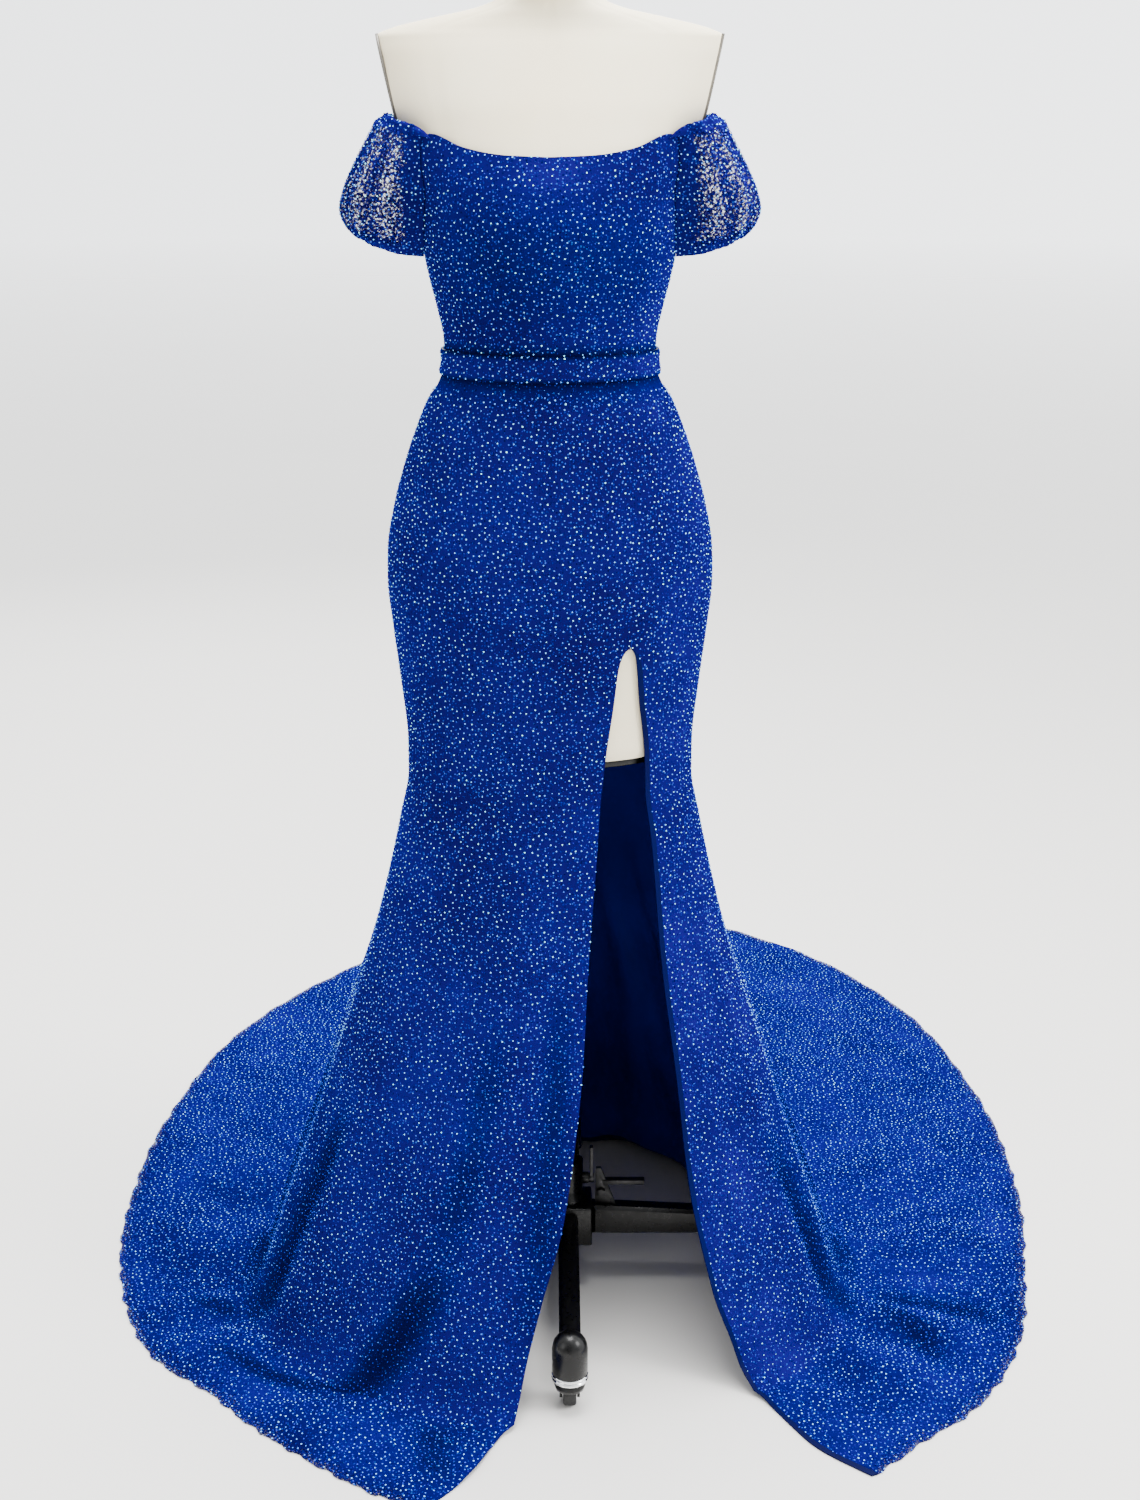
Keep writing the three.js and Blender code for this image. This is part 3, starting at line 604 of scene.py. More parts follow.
def voronoi(nodes, links, place, scale, randomness=1.0):
    node = nodes.new("ShaderNodeTexVoronoi")
    node.inputs["Scale"].default_value = scale
    node.inputs["Randomness"].default_value = randomness
    links.new(place, node.inputs["Vector"])
    return node


def small_beads(nodes, links, place):
    """Bead dots between the modelled ones: how much of a dot, and the dot's own brightness."""
    cells = voronoi(nodes, links, place, 330.0)
    dot = ramp(nodes, links, cells.outputs["Distance"], [(0.0, grey(1)), (0.26, grey(1)), (0.36, grey(0))])
    tone = nodes.new("ShaderNodeSeparateColor")
    links.new(cells.outputs["Color"], tone.inputs["Color"])
    return dot, tone.outputs["Red"]


def beaded_material(name, sheer):
    """Royal blue net over satin with fine beads. Where sheer, only net in blotches of that scale."""
    material, nodes, links, shader = new_material(name)
    place = coordinates(nodes)
    patches = noise(nodes, links, place, 9.0, 4.0)
    cloth = ramp(nodes, links, patches, [
        (0.32, (0.0050, 0.0014, 0.058)), (0.52, (0.0066, 0.0024, 0.084)), (0.74, (0.0085, 0.0038, 0.118))])
    dot, tone = small_beads(nodes, links, place)
    bead = ramp(nodes, links, tone, [
        (0.0, (0.0004, 0.0006, 0.030)), (0.50, (0.0014, 0.0034, 0.115)), (0.82, (0.0040, 0.018, 0.250)),
        (1.0, (0.020, 0.090, 0.460))])
    # Painted shade: the hollow attribute darkens the cloth in creases, under the belt and bust, on the sides
    # and on the floor.
    hollow = nodes.new("ShaderNodeAttribute")
    hollow.attribute_name = "hollow"
    shade = ramp(nodes, links, hollow.outputs["Fac"], [
        (0.0, grey(1.0)), (0.3, (0.34, 0.84, 0.84)), (0.6, (0.12, 0.54, 0.58)), (1.0, (0.04, 0.28, 0.34))])
    color = mix_color(nodes, links, 1.0, mix_color(nodes, links, dot, cloth, bead), shade, "MULTIPLY")
    links.new(color, shader.inputs["Base Color"])
    gloss = ramp(nodes, links, dot, [(0.0, grey(0.62)), (1.0, grey(0.30))])
    links.new(gloss, shader.inputs["Roughness"])
    threads = voronoi(nodes, links, place, 900.0, 0.6).outputs["Distance"]
    first = bump(nodes, links, threads, 0.35, 0.0003)
    links.new(bump(nodes, links, dot, 0.6, 0.0006, first), shader.inputs["Normal"])
    shader.inputs["Specular IOR Level"].default_value = 0.0
    if sheer:
        blotches = noise(nodes, links, place, sheer, 2.0, 0.6)
        thick = nodes.new("ShaderNodeAttribute")
        thick.attribute_name = "thick"
        cover = math_node(nodes, links, "ADD", blotches, thick.outputs["Fac"])
        links.new(ramp(nodes, links, cover, [(0.46, grey(0.10)), (0.60, grey(1.0))]), shader.inputs["Alpha"])
    return material


def bead_material():
    """Glass beads, dark to pale blue at random, each with its own brightness; the brightest are painted
    glints that glow.
    """
    material, nodes, links, shader = new_material("glass_beads")
    tone = nodes.new("ShaderNodeAttribute")
    tone.attribute_name = "tone"
    color = ramp(nodes, links, tone.outputs["Fac"], [
        (0.0, (0.003, 0.002, 0.050)), (0.35, (0.012, 0.012, 0.260)), (0.58, (0.030, 0.070, 0.640)),
        (0.75, (0.070, 0.260, 0.960)), (0.9, (0.220, 0.560, 1.0)), (0.97, (0.28, 0.78, 1.0)),
        (1.0, (0.40, 0.94, 1.0))])
    links.new(color, shader.inputs["Base Color"])
    # Painted glints: the brightest beads glow by emission, though no lamp is in them.
    painted_glint_glow = ramp(nodes, links, tone.outputs["Fac"], [
        (0.70, grey(0.0)), (0.86, (0.06, 0.24, 0.78)), (0.97, (0.14, 0.60, 1.0)), (1.0, (0.24, 0.82, 0.96))])
    links.new(painted_glint_glow, shader.inputs["Emission Color"])
    shader.inputs["Emission Strength"].default_value = 1.15
    shader.inputs["Roughness"].default_value = 0.40
    shader.inputs["Specular IOR Level"].default_value = 0.0
    return material


def satin_material(name, dark, light, rough):
    material, nodes, links, shader = new_material(name)
    place = coordinates(nodes)
    broad = noise(nodes, links, place, 5.0, 3.0)
    links.new(ramp(nodes, links, broad, [(0.3, dark), (0.7, light)]), shader.inputs["Base Color"])
    stretch = nodes.new("ShaderNodeMapping")
    stretch.inputs["Scale"].default_value = (1.0, 1.0, 0.12)
    links.new(place, stretch.inputs["Vector"])
    threads = noise(nodes, links, stretch.outputs["Vector"], 1500.0, 2.0)
    links.new(ramp(nodes, links, threads, [(0.3, grey(rough - 0.06)), (0.7, grey(rough + 0.08))]),
              shader.inputs["Roughness"])
    links.new(bump(nodes, links, threads, 0.25, 0.0002), shader.inputs["Normal"])
    shader.inputs["Specular IOR Level"].default_value = 0.03
    return material


def linen_material():
    material, nodes, links, shader = new_material("cream_linen")
    place = coordinates(nodes)
    waves = []
    for direction in ("X", "Z"):
        wave = nodes.new("ShaderNodeTexWave")
        wave.bands_direction = direction
        wave.inputs["Scale"].default_value = 320.0
        wave.inputs["Distortion"].default_value = 1.4
        wave.inputs["Detail"].default_value = 2.0
        links.new(place, wave.inputs["Vector"])
        waves.append(wave.outputs["Fac"])
    weave = math_node(nodes, links, "MULTIPLY", *waves)
    broad = noise(nodes, links, place, 7.0, 5.0)
    base = ramp(nodes, links, broad, [(0.3, (0.97, 0.85, 0.60)), (0.7, (1.0, 0.91, 0.68))])
    shade = ramp(nodes, links, weave, [(0.0, grey(0.90)), (1.0, grey(1.0))])
    links.new(mix_color(nodes, links, 1.0, base, shade, "MULTIPLY"), shader.inputs["Base Color"])
    links.new(bump(nodes, links, weave, 0.3, 0.0003), shader.inputs["Normal"])
    shader.inputs["Roughness"].default_value = 0.86
    shader.inputs["Sheen Weight"].default_value = 0.15
    return material


def metal_material(name, dark, light, metallic, rough, grain, coat=0.0):
    """Enamel, metal or rubber, faintly uneven in colour, gloss and height."""
    material, nodes, links, shader = new_material(name)
    place = coordinates(nodes)
    broad = noise(nodes, links, place, 22.0, 5.0, 0.65)
    links.new(ramp(nodes, links, broad, [(0.35, dark), (0.75, light)]), shader.inputs["Base Color"])
    fine = noise(nodes, links, place, grain, 3.0)
    links.new(ramp(nodes, links, fine, [(0.3, grey(rough * 0.75)), (0.75, grey(rough * 1.5))]),
              shader.inputs["Roughness"])
    links.new(bump(nodes, links, fine, 0.12, 0.0004), shader.inputs["Normal"])
    shader.inputs["Metallic"].default_value = metallic
    shader.inputs["Specular IOR Level"].default_value = 0.25
    shader.inputs["Coat Weight"].default_value = coat
    shader.inputs["Coat Roughness"].default_value = 0.06
    return material


beaded = beaded_material("beaded_blue", 0)
beaded_net = beaded_material("beaded_net", 330.0)
border_net = beaded_material("border_net", 460.0)
beads_glass = bead_material()
satin = satin_material("navy_satin", (0.0004, 0.0016, 0.050), (0.0007, 0.0026, 0.085), 0.42)
# The lining is painted lighter than the navy satin to make up for the shade it hangs in.
lining_satin_painted_lighter = satin_material("lining_satin_painted_lighter", (0.0040, 0.0048, 0.140), (0.0070, 0.0085, 0.240), 0.46)
facing_satin = satin_material("facing_satin", (0.0002, 0.0007, 0.028), (0.0003, 0.0011, 0.048), 0.50)
linen = linen_material()
iron = metal_material("black_enamel", (0.0004, 0.0004, 0.0005), (0.0014, 0.0014, 0.0016), 0.0, 0.30, 160.0,
                      0.06)
steel = metal_material("dull_steel", (0.030, 0.030, 0.031), (0.075, 0.075, 0.076), 0.9, 0.36, 260.0)
chrome = metal_material("bright_chrome", (0.72, 0.73, 0.75), (0.86, 0.87, 0.88), 1.0, 0.10, 120.0)
rubber = metal_material("dark_rubber", (0.014, 0.014, 0.015), (0.035, 0.034, 0.033), 0.0, 0.55, 300.0)
plate_enamel = metal_material("plate_enamel", (0.16, 0.15, 0.13), (0.26, 0.24, 0.21), 0.4, 0.40, 200.0)
zip_lacquer = metal_material("zip_lacquer", (0.010, 0.030, 0.22), (0.020, 0.050, 0.32), 0.6, 0.25, 300.0)


# Beads

rng = np.random.default_rng(7)
BEAD_SIDES = 6
BEAD_GAP = 4.3
BRIGHT_GAP = 6.2


def spread_points(surface, facing, cell_rows, cell_columns, gap, bright_gap):
    """Even random points on a surface of two values that each run from 0 to 1 between two edges.

    The bright ones among them keep a larger gap to each other, so they are even too.
    """
    u = np.linspace(0, 1, cell_rows + 1)
    v = np.linspace(0, 1, cell_columns + 1)
    corners = surface(*np.meshgrid(u, v, indexing="ij"))
    across = corners[1:, 1:] - corners[:-1, :-1]
    other = corners[1:, :-1] - corners[:-1, 1:]
    area = np.linalg.norm(np.cross(across, other), axis=-1) / 2
    wanted = int(area.sum() / gap**2 * 1.9)
    cell = rng.choice(area.size, wanted, p=area.ravel() / area.sum())
    row, column = np.divmod(cell, cell_columns)
    a = (row + rng.random(wanted)) / cell_rows
    b = (column + rng.random(wanted)) / cell_columns
    points = surface(a, b)
    tree = kdtree.KDTree(wanted)
    for i, point in enumerate(points):
        tree.insert(point, i)
    tree.balance()
    kept = np.ones(wanted, bool)
    bright = np.ones(wanted, bool)
    for i in range(wanted):
        if kept[i]:
            for _, other_index, _ in tree.find_range(points[i], gap * 0.86):
                if other_index > i:
                    kept[other_index] = False
            if bright[i]:
                for _, other_index, _ in tree.find_range(points[i], bright_gap * 0.86):
                    if other_index > i:
                        bright[other_index] = False
    a, b = a[kept], b[kept]
    step = 0.0015
    along = surface(np.minimum(a + step, 1), b) - surface(np.maximum(a - step, 0), b)
    sideways = surface(a, np.minimum(b + step, 1)) - surface(a, np.maximum(b - step, 0))
    return points[kept], unit(np.cross(along, sideways)) * facing, bright[kept], a, b


def bead_mesh(name, points, normals, bright, top_tone, size, hollow):
    """Joined domes of six sides, each with its own size, lean and brightness. Bright beads take painted glint
    tones, and painted shade dims all of them.
    """
    count = len(points)
    radius = size * np.where(bright, rng.uniform(0.82, 1.10, count), rng.uniform(0.70, 1.0, count))
    # Painted glint tones for the bright beads, random tones for the rest; painted shade (hollow) dims both.
    painted_glint_tone = 0.58 + (top_tone - 0.58) * rng.random(count) ** 0.9
    tone = np.where(bright, painted_glint_tone, rng.uniform(0.05, 0.60, count)) * (1 - 0.42 * hollow)
    normals = unit(normals + rng.normal(0, 0.22, (count, 3)))
    helper = np.where(np.abs(normals[:, 2:]) < 0.9, [[0.0, 0.0, 1.0]], [[1.0, 0.0, 0.0]])
    side = unit(np.cross(helper, normals))
    other = np.cross(normals, side)
    turn = rng.uniform(0, 2 * math.pi, count)
    rims = []
    for k in range(BEAD_SIDES):
        angle = turn + k * 2 * math.pi / BEAD_SIDES
        rim = side * np.cos(angle)[:, None] + other * np.sin(angle)[:, None]
        rims.append(points + rim * radius[:, None] - normals * (0.25 * radius)[:, None])
    top = points + normals * (0.95 * radius)[:, None]
    vertices = np.stack([top, *rims], 1)
    start = np.arange(count)[:, None] * (BEAD_SIDES + 1)
    faces = [np.concatenate([start, start + 1 + k, start + 1 + (k + 1) % BEAD_SIDES], 1)
             for k in range(BEAD_SIDES)]
    obj = mesh_from(name, to_frame(vertices), np.concatenate(faces))
    add_attribute(obj, "tone", np.repeat(tone, BEAD_SIDES + 1))
    obj.data.materials.append(beads_glass)
    return finish_piece(obj)


def beads_on(name, surface, cells, facing, gap=BEAD_GAP, bright_gap=BRIGHT_GAP, top_tone=1.0, size=1.0,
             shadow=None):
    points, normals, bright, a, b = spread_points(surface, facing, *cells, gap, bright_gap)
    hollow = shadow(a, b) if shadow else np.zeros(len(a))
    return bead_mesh(name, points, normals, bright, top_tone, size, hollow)


# Skirt

def width_angle(width, down):
    upright = np.minimum(down, 1.0)
    return np.degrees(width / np.minimum.reduce(read(SKIRT, "down", upright)))


def slit_edge(side):
    """Edge of the slit, with a small round top at the apex."""
    def edge(down):
        t = np.clip((down - SLIT_APEX) / (SLIT_ROUND - SLIT_APEX), 0, 1)
        top, below = SLIT[side][1:3]
        return np.where(down < SLIT_ROUND, mix(top, below, np.sqrt(t)), curve(down, SLIT["down"], SLIT[side]))
    return edge


def side_edge(side):
    return lambda down: curve(down, SIDES["down"], SIDES[side])


def facing_edge(down):
    width = mix(FACING_TIP, FACING_WIDTH, np.clip((down - SLIT_APEX) / 0.02, 0, 1))
    return slit_edge("left")(down) + np.where(down < SLIT_APEX, 0, width_angle(width, down))


def straight_edge(angle):
    return lambda down: angle + 0 * down


def panel_place(first_edge, last_edge, down, across):
    gap = width_angle(SEAM_GAP, down)
    return mix(first_edge(down) + gap, last_edge(down) - gap, across)


def skirt_stations(start, end, upright_rows, lying_rows):
    upright = np.linspace(max(start, 0.0003), min(end, 1.0), upright_rows)
    apex = SLIT_APEX + np.array([-0.002, 0, 0.0004, 0.0014, 0.0032, 0.007, 0.013, 0.02])
    upright = np.union1d(upright, apex[(apex > start) & (apex < end)])
    if end <= 1:
        return upright
    return np.concatenate([upright, 1 + np.linspace(0, end - 1, lying_rows)[1:]])


def skirt_grid(edges, stations, columns, out):
    down, across = np.meshgrid(stations, np.linspace(0, 1, columns), indexing="ij")
    return skirt_point(panel_place(*edges, down, across), down, np.full(down.shape, out))


def border_share(angle, down):
    """0 where lining backs the net, rising to 1 at the hem of the unlined border."""
    reach = curve(angle, HEM["angle"], HEM["reach"])
    inner = np.linalg.norm(plain_skirt(angle, np.ones_like(down))[..., :2], axis=-1)
    ragged = 5 * np.sin(np.radians(angle) * 31) + 3 * np.sin(np.radians(angle) * 67 + 1)
    left = (2 - down) * (reach - inner)
    return np.clip(1 - left / (NET_BORDER + ragged), 0, 1)


def skirt_panel(node, edges, columns, materials, start=0.0):
    stations = skirt_stations(start, 2.0, 84 if start == 0 else 64, 44)
    inner = skirt_grid(edges, stations, columns, 0.0)
    outer = skirt_grid(edges, stations, columns, CLOTH_WALL)
    obj = shell(f"{node}_cloth", inner, outer, materials)
    down, across = np.meshgrid(stations, np.linspace(0, 1, columns), indexing="ij")
    share = border_share(panel_place(*edges, down, across), down)
    add_attribute(obj, "thick", np.tile(np.where(share > 0, 0.20 - 0.17 * share, 1.0).ravel(), 2))
    # Painted shade for the cloth, from creases, the belt, the sides and the floor.
    add_attribute(obj, "hollow", np.tile(skirt_shadow(panel_place(*edges, down, across), down).ravel(), 2))
    if len(materials) > 2:
        index = np.empty(len(obj.data.polygons), np.int32)
        obj.data.polygons.foreach_get("material_index", index)
        quads = np.empty(len(index) * 4, np.int32)
        obj.data.polygons.foreach_get("vertices", quads)
        on_border = np.tile(share.ravel(), 2)[quads.reshape(-1, 4)].min(1) > 0
        obj.data.polygons.foreach_set("material_index", np.where(on_border, 2, index))
    return finish_piece(obj, [node])


def skirt_beads(node, edges, spans):
    made = []
    for label, start, end, cells, bright_gap, top_tone, size in spans:
        def surface(a, b, start=start, end=end):
            down = mix(start, end, a)
            return skirt_point(panel_place(*edges, down, b), down, np.full(down.shape, CLOTH_WALL))

        def shadow(a, b, start=start, end=end):
            down = mix(start, end, a)
            return skirt_shadow(panel_place(*edges, down, b), down)

        made.append(beads_on(f"{node}_beads_{label}", surface, cells, 1.0, bright_gap=bright_gap,
                             top_tone=top_tone, size=size, shadow=shadow))
    return made


UPPER = ("upper", 0.0, 0.55, (60, 40), 6.0, 1.0, 1.0)
LOWER = ("lower", 0.55, 1.0, (60, 40), 6.2, 0.98, 1.0)
LYING = ("lying", 1.0, 2.0, (60, 60), 6.2, 1.0, 1.15)
SKIRT_FRONT = (side_edge("right"), slit_edge("right"))
SKIRT_FRONT_LEFT = (facing_edge, side_edge("left"))
SKIRT_BACK_RIGHT = (straight_edge(-180.0), side_edge("right"))
SKIRT_BACK_LEFT = (side_edge("left"), straight_edge(180.0))
cloth_faces = (beaded, satin, border_net)

for node, edges, columns, flat, area in (
    ("skirt_front", SKIRT_FRONT, 84, (0.70, 1.31), 0.48),
    ("skirt_front_left", SKIRT_FRONT_LEFT, 48, (0.43, 1.37), 0.26),
    ("skirt_back_right", SKIRT_BACK_RIGHT, 92, (1.02, 2.06), 0.86),
    ("skirt_back_left", SKIRT_BACK_LEFT, 92, (1.02, 2.06), 0.97),
):
    cloth = skirt_panel(node, edges, columns, cloth_faces)
    beads = skirt_beads(node, edges, (UPPER, LOWER, LYING))

facing = skirt_panel("slit_facing", (slit_edge("left"), facing_edge), 4, (facing_satin, facing_satin),
                     SLIT_APEX)


# Lining

# Soft folds of the lining: an angle and a station at each end, a half width in degrees, and the depth.
LINING_FOLDS = [
    [150, 0.45, 118, 0.98, 7.0, 7.0],
    [165, 0.52, 140, 0.98, 6.0, 6.0],
    [128, 0.42, 100, 0.90, 6.0, 4.5],
    [176, 0.44, 172, 0.98, 5.0, 6.0],
    [-170, 0.50, -150, 0.98, 6.5, 6.5],
    [-150, 0.44, -126, 0.98, 6.0, 5.0],
    [-128, 0.46, -104, 0.95, 6.0, 5.0],
]

# Where the lining falls inward between the legs of the stand: the middle, the half width in degrees, and
# how far in it comes at the floor.
LINING_FALLS = [
    [134, 34, 62],
    [-137, 30, 48],
]


def plain_lining(angle, down):
    depth = np.zeros(np.broadcast(angle, down).shape)
    for angle0, down0, angle1, down1, spread, size in LINING_FOLDS:
        t = (down - down0) / (down1 - down0)
        centre = mix(angle0, angle1, np.clip(t, 0, 1))
        depth += size * smooth(t / 0.35) * smooth((1.15 - t) / 0.4) * crest(angle, centre, spread)
    point = skirt_point(angle, down, -FIT_GAP - depth)
    inward = np.zeros(depth.shape)
    t = np.clip((down - LINING_START) / (LINING_END - LINING_START), 0, 1)
    for middle, spread, size in LINING_FALLS:
        inward += size * t**1.5 * crest(angle, middle, spread)
    point[..., :2] *= (1 - inward / np.linalg.norm(point[..., :2], axis=-1))[..., None]
    return point


def lining_point(angle, down, out):
    at = np.clip(down, LINING_START, LINING_END - 0.004)
    normal = normal_of(plain_lining, angle, at, 0.5, 0.003)
    return plain_lining(angle, down) + normal * out


for node, edges in (("lining_right", SKIRT_BACK_RIGHT), ("lining_left", SKIRT_BACK_LEFT)):
    stations = skirt_stations(LINING_START, LINING_END, 72, 0)
    down, across = np.meshgrid(stations, np.linspace(0, 1, 64), indexing="ij")
    angle = panel_place(*edges, down, across)
    outer = lining_point(angle, down, 0.0)
    inner = lining_point(angle, down, -LINING_WALL)
    lining = finish_piece(shell(f"{node}_satin", inner, outer, (lining_satin_painted_lighter,)), [node])


# Bodice and belt

UNDER_BUST = 1232.0


def bodice_angle(first, last, across):
    gap = width_angle(SEAM_GAP, np.zeros_like(across))
    return mix(first + gap, last - gap, across)


def bodice_panel(node, first, last, columns):
    rows = 56
    up, across = np.meshgrid(np.linspace(0, 1, rows), np.linspace(0, 1, columns), indexing="ij")
    angle = bodice_angle(first, last, across)
    height = mix(WAIST, top_edge(angle), up)
    inner = bodice_point(angle, height, np.zeros(up.shape))
    outer = bodice_point(angle, height, np.full(up.shape, CLOTH_WALL))
    obj = shell(f"{node}_cloth", inner, outer, (beaded, satin))
    # Painted shade just above the belt and under the bust.
    over_belt = np.exp(-((height - WAIST - BELT_HEIGHT / 2) / 7.0) ** 2)
    under_bust = np.exp(-((height - UNDER_BUST) / 52) ** 2) * smooth((78 - np.abs(angle)) / 50)
    shadow = np.clip(0.8 * over_belt + 0.34 * under_bust, 0, 1)
    add_attribute(obj, "hollow", np.tile(shadow.ravel(), 2))
    finish_piece(obj, [node])

    def surface(a, b):
        here = bodice_angle(first, last, b)
        return bodice_point(here, mix(WAIST, top_edge(here), a), np.full(a.shape, CLOTH_WALL))

    beads = beads_on(f"{node}_beads", surface, (40, 40), -1.0)


bodice_panel("bodice_front", -SIDE_SEAM, SIDE_SEAM, 90)
bodice_panel("bodice_back_right", -180.0, -SIDE_SEAM, 46)
bodice_panel("bodice_back_left", SIDE_SEAM, 180.0, 46)


def belt_point(angle, level, out):
    height = WAIST + level * BELT_HEIGHT
    half, front, back = section_at(height)
    crown = np.interp(np.abs(level), [0, 0.36, 0.44, 0.5], [1.0, 1.0, 0.86, 0.6])
    ripple = 0.35 * np.sin(np.radians(angle) * 9 + 3 * level) + 0.25 * np.sin(np.radians(angle) * 23)
    grow = CLOTH_WALL + BELT_EASE + out * (BELT_WALL * crown + ripple)
    return oval(angle, half + grow, front + grow, back + grow, height)


belt_open = float(width_angle(0.6, np.zeros(1))[0])


def belt_outer(a, b):
    return belt_point(mix(-180 + belt_open, 180 - belt_open, b), mix(-0.5, 0.5, a), np.ones_like(a))


level, across = np.meshgrid(np.linspace(-0.5, 0.5, 13), np.linspace(0, 1, 180), indexing="ij")
belt_angle = mix(-180 + belt_open, 180 - belt_open, across)
belt = shell("belt_cloth", belt_point(belt_angle, level, np.zeros(level.shape)),
             belt_point(belt_angle, level, np.ones(level.shape)), (beaded, satin))
# Painted shade along the belt's top and bottom edges.
add_attribute(belt, "hollow", np.tile(smooth((np.abs(level).ravel() - 0.36) / 0.12), 2))
finish_piece(belt, ["belt"])
belt_beads = beads_on("belt_beads", belt_outer, (12, 120), -1.0, 4.0, 6.4)


# Sleeves

def add_sleeve(node, side):
    rows, columns = 64, 96
    station, around = np.meshgrid(np.linspace(0, 1, rows), np.linspace(0, 1, columns), indexing="ij")

    def points(around, station, out):
        place = sleeve_point(around, station, out)
        place[..., 0] *= side
        return place

    inner = points(around, station, np.zeros(station.shape))
    outer = points(around, station, np.full(station.shape, NET_WALL))
    obj = shell(f"{node}_net", inner, outer, (beaded_net,))
    rolled = smooth((0.24 - station) / 0.1)
    cuff = smooth((station - 0.9) / 0.08)
    seams = smooth((0.07 - around) / 0.05) + smooth((around - 0.93) / 0.05)
    valleys = 0.5 - 0.5 * np.cos(2 * math.pi * SLEEVE_GATHERS * around + 2.2 * station)
    thick = 0.07 * valleys + 0.3 * np.clip(rolled + cuff + seams, 0, 1)
    add_attribute(obj, "thick", np.tile(thick.ravel(), 2))
    finish_piece(obj, [node])

    def surface(a, b):
        return points(b, a, np.full(a.shape, NET_WALL))

    beads = beads_on(f"{node}_beads", surface, (40, 60), side * 1.0, 3.9, 5.2)


add_sleeve("sleeve_left", 1)
add_sleeve("sleeve_right", -1)


# Dress form

FORM_SEAMS = (0.0, 180.0, 42.0, -42.0, 138.0, -138.0)
NECK_GROOVE = 1500.0
ARM_CUT_FROM = 1.30


def form_torso():
    """Padded form with its sewn grooves, cut flat at the armholes."""
    segments = 128
    shoulder = SHOULDER["height"][0]
    lower = np.linspace(FORM_BOTTOM, shoulder, 90)
    upper = np.concatenate([np.linspace(shoulder + 2, 1492, 60), np.linspace(1494, NECK_TOP, 16)])
    heights = np.concatenate([lower, upper])
    angle, height = np.meshgrid(np.arange(segments) * 360 / segments, heights, indexing="xy")
    half, front, back = form_section(height)
    inset = np.where(height == FORM_BOTTOM, 3.0, 0.0)
    groove = np.zeros(height.shape)
    for seam in FORM_SEAMS:
        groove += 0.9 * np.exp(-((turn_between(angle, seam) * np.radians(1) * half) / 2.2) ** 2)
    groove += np.exp(-((height - NECK_GROOVE) / 2.0) ** 2)
    shrink = inset + groove
    points = oval(angle, half - shrink, front - shrink, back - shrink, height)
    rows = len(heights)
    faces = []
    for i in range(rows - 1):
        a = i * segments + np.arange(segments)
        b = i * segments + (np.arange(segments) + 1) % segments
        faces.append(np.stack([a, b, b + segments, a + segments], -1))
    faces = np.concatenate(faces)
    points = to_frame(points).reshape(-1, 3)
    if signed_volume(points, faces) < 0:
        faces = faces[:, ::-1]
    obj = mesh_from("form_torso_linen", points, faces)
    work = bmesh.new()
    work.from_mesh(obj.data)
    for side in (1, -1):
        centre = Vector((AXIS_X + side * ARM_PLANE_HALF * MM, AXIS_Y, ARM_PLANE_HEIGHT * MM))
        normal = Vector((side, 0, -ARM_PLANE_LEAN)).normalized()
        faces = [face for face in work.faces if face.calc_center_median().z > ARM_CUT_FROM]
        edges = {edge for face in faces for edge in face.edges}
        verts = {vert for face in faces for vert in face.verts}
        bmesh.ops.bisect_plane(work, geom=[*verts, *edges, *faces], plane_co=centre, plane_no=normal,
                               clear_outer=True)
    edges = [edge for edge in work.edges if edge.is_boundary]
    bmesh.ops.holes_fill(work, edges=edges, sides=0)
    bmesh.ops.recalc_face_normals(work, faces=work.faces)
    work.to_mesh(obj.data)
    work.free()
    obj.data.polygons.foreach_set("use_smooth", np.ones(len(obj.data.polygons), bool))
    obj.data.set_sharp_from_angle(angle=math.radians(40))
    obj.data.materials.append(linen)
    return finish_piece(obj, ["form_torso"])


torso = form_torso()


# Hard pieces: each solid's own shape with rounded edges

def rounded(node, material, edge, body="root", angle=25):
    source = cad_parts[node]
    mesh = source.data.copy()
    mesh.materials.clear()
    mesh.materials.append(material)
    obj = bpy.data.objects.new(f"{node}_finished", mesh)
    bpy.context.scene.collection.objects.link(obj)
    work = bmesh.new()
    work.from_mesh(mesh)
    bmesh.ops.remove_doubles(work, verts=work.verts, dist=1e-5)
    bmesh.ops.dissolve_limit(work, angle_limit=math.radians(1.0), verts=work.verts, edges=work.edges)
    sharp = [e for e in work.edges if len(e.link_faces) == 2 and e.calc_face_angle(0) > math.radians(angle)]
    bmesh.ops.bevel(work, geom=sharp, offset=edge * MM, offset_type="OFFSET", segments=2, profile=0.5,
                    affect="EDGES", clamp_overlap=True)
    work.to_mesh(mesh)
    work.free()
    mesh.polygons.foreach_set("use_smooth", np.ones(len(mesh.polygons), bool))
    mesh.set_sharp_from_angle(angle=math.radians(38))
    return finish_piece(obj, [node], body)


for leg in ("front", "left", "back", "right"):
    rounded(f"leg_{leg}", iron, 0.8)
    rounded(f"caster_ring_{leg}", chrome, 0.3)
    rounded(f"caster_fork_{leg}", iron, 0.4, f"swivel_{leg}")
    rounded(f"caster_wheel_{leg}", rubber, 0.6, f"wheel_{leg}")
rounded("stand_hub", iron, 2.0)
rounded("stand_pole", iron, 0.5)
rounded("clamp_collar", iron, 0.6)
rounded("clamp_lever", steel, 0.6, "clamp_lever")
rounded("lock_bracket", steel, 0.5)
rounded("form_neck_cap", plate_enamel, 0.8)
rounded("form_arm_plate_left", plate_enamel, 0.6)
rounded("form_arm_plate_right", plate_enamel, 0.6)
rounded("form_bottom_plate", iron, 1.0)
rounded("zip_slider", zip_lacquer, 0.2)
rounded("zip_tab", zip_lacquer, 0.2, "zip_tab")


# Stage, light and camera

FLOOR_RADIUS = 24.0
FLOOR_DROP = 0.0008
FLOOR_COLOR = (0.80, 0.78, 0.75)


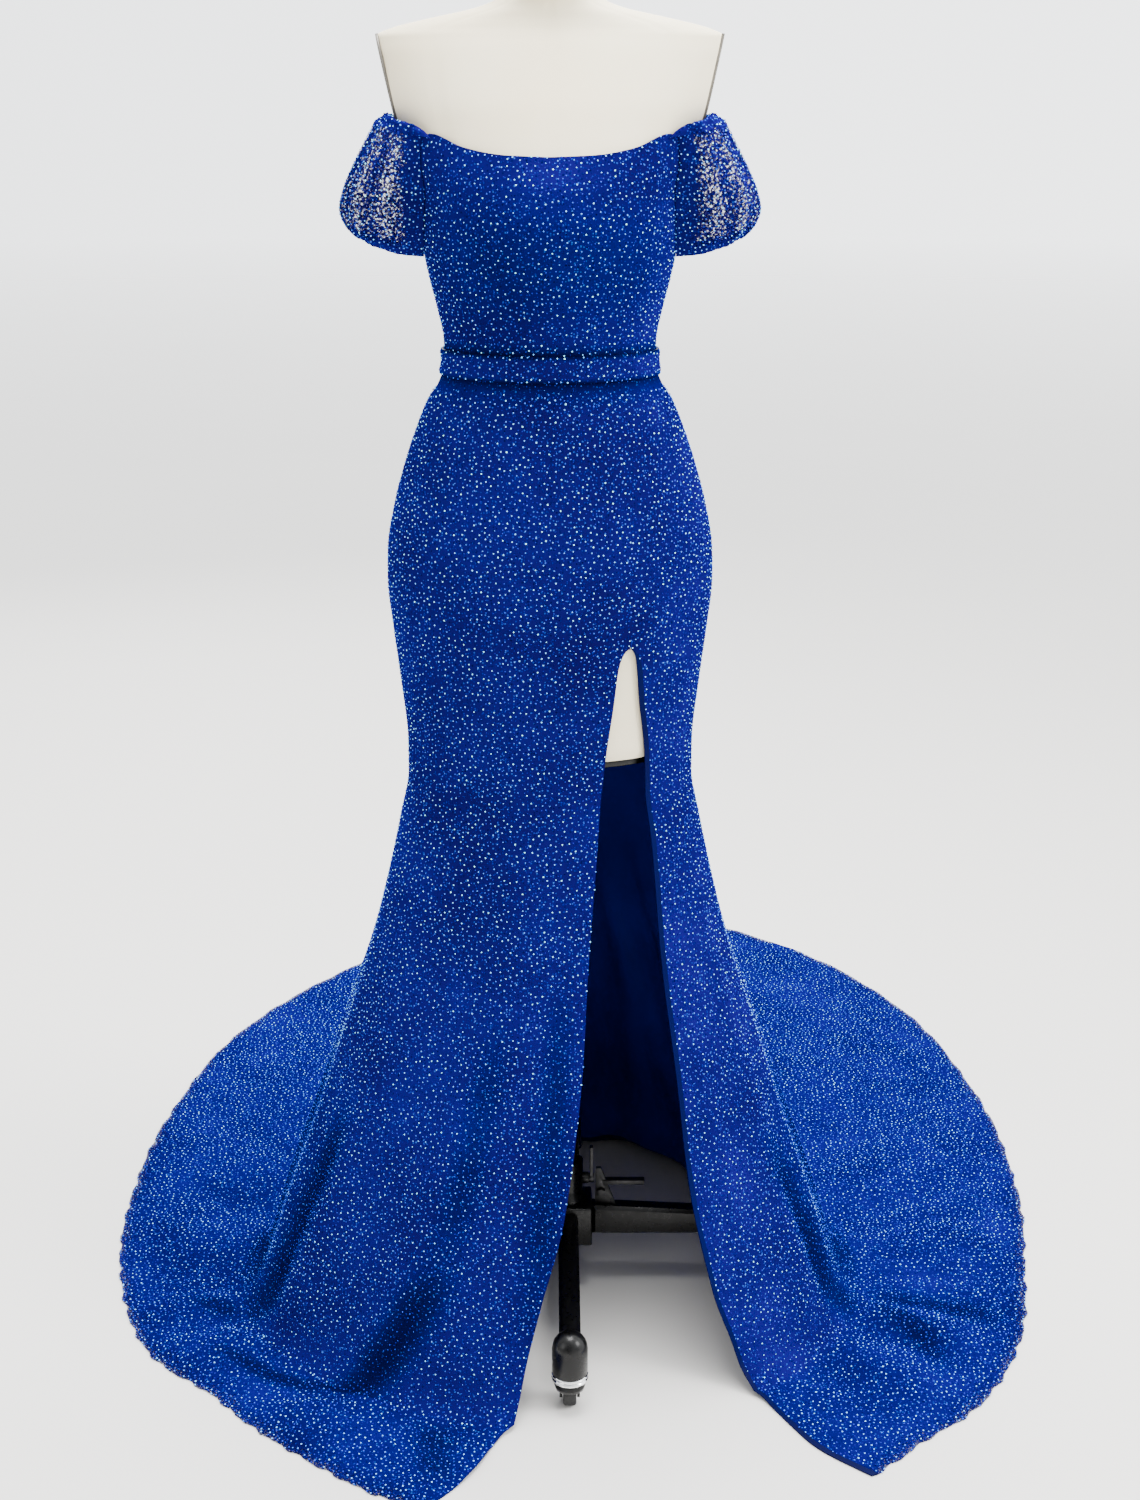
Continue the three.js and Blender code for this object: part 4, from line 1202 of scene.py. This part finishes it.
def floor_material():
    """Pale floor that fades away far off, so that no line shows where it ends."""
    material, nodes, links, shader = new_material("pale_floor")
    place = coordinates(nodes)
    broad = noise(nodes, links, place, 0.7, 4.0)
    links.new(ramp(nodes, links, broad, [(0.3, tuple(c * 0.97 for c in FLOOR_COLOR)), (0.7, FLOOR_COLOR)]),
              shader.inputs["Base Color"])
    shader.inputs["Roughness"].default_value = 0.75
    away = nodes.new("ShaderNodeVectorMath")
    away.operation = "LENGTH"
    links.new(place, away.inputs[0])
    far = math_node(nodes, links, "DIVIDE", away.outputs["Value"], FLOOR_RADIUS)
    links.new(ramp(nodes, links, far, [(0.12, grey(1.0)), (0.9, grey(0.0))]), shader.inputs["Alpha"])
    return material


def add_floor():
    segments = 96
    angle = np.arange(segments) * 2 * math.pi / segments
    drop = np.full(segments, -FLOOR_DROP)
    ring = np.stack([FLOOR_RADIUS * np.cos(angle), FLOOR_RADIUS * np.sin(angle), drop], -1)
    points = np.concatenate([[[0, 0, -FLOOR_DROP]], ring])
    index = np.arange(segments)
    faces = np.stack([np.zeros(segments, int), 1 + index, 1 + (index + 1) % segments], -1)
    floor = mesh_from("floor", points, faces)
    floor.data.materials.append(floor_material())


def add_light(name, place, target, size, power):
    data = bpy.data.lights.new(name, "AREA")
    data.shape = "RECTANGLE"
    data.size, data.size_y = size
    data.energy = power
    light = bpy.data.objects.new(name, data)
    light.location = place
    light.rotation_euler = (Vector(target) - Vector(place)).to_track_quat("-Z", "Y").to_euler()
    bpy.context.scene.collection.objects.link(light)


def add_world():
    """White all round: brighter behind, on the wearer's left and above, dimmer in front."""
    world = bpy.data.worlds.new("studio")
    world.use_nodes = True
    nodes, links = world.node_tree.nodes, world.node_tree.links
    background = nodes["Background"]
    background.inputs["Color"].default_value = (0.96, 0.98, 1.0, 1.0)
    facing = nodes.new("ShaderNodeVectorMath")
    facing.operation = "DOT_PRODUCT"
    facing.inputs[1].default_value = (0.25, 0.42, 0.18)
    links.new(nodes.new("ShaderNodeTexCoord").outputs["Generated"], facing.inputs[0])
    share = math_node(nodes, links, "ADD", facing.outputs["Value"], 0.5, True)
    level = math_node(nodes, links, "MULTIPLY", share, 3.6)
    links.new(math_node(nodes, links, "ADD", level, 0.15), background.inputs["Strength"])
    bpy.context.scene.world = world


CAMERA_HEIGHT = 1.383
CAMERA_BACK = 2.2745
CAMERA_PITCH = 17.077
PHOTO_HEIGHT = 1500
PHOTO_CENTRE_X = 570
AXIS_PIXEL_X = 550


def add_camera():
    data = bpy.data.cameras.new("camera")
    data.lens = 50
    data.sensor_fit = "VERTICAL"
    data.sensor_height = 36
    data.sensor_width = 36
    data.shift_x = (PHOTO_CENTRE_X - AXIS_PIXEL_X) / PHOTO_HEIGHT
    camera = bpy.data.objects.new("camera", data)
    camera.location = (AXIS_X, AXIS_Y - CAMERA_BACK, CAMERA_HEIGHT)
    camera.rotation_euler = (math.radians(90 - CAMERA_PITCH), 0, 0)
    bpy.context.scene.collection.objects.link(camera)
    bpy.context.scene.camera = camera


add_floor()
add_world()
TARGET = (AXIS_X, AXIS_Y, 0.75)
add_light("key", (2.9, -1.6, 2.5), TARGET, (1.2, 1.5), 125)
add_light("fill", (-2.6, -2.4, 1.7), TARGET, (1.6, 2.0), 36)
add_light("top", (0.1, -0.5, 3.4), (0.0, -0.1, 0.0), (1.6, 1.6), 175)
add_light("back", (-1.2, 3.0, 2.2), TARGET, (1.6, 1.6), 70)
add_camera()
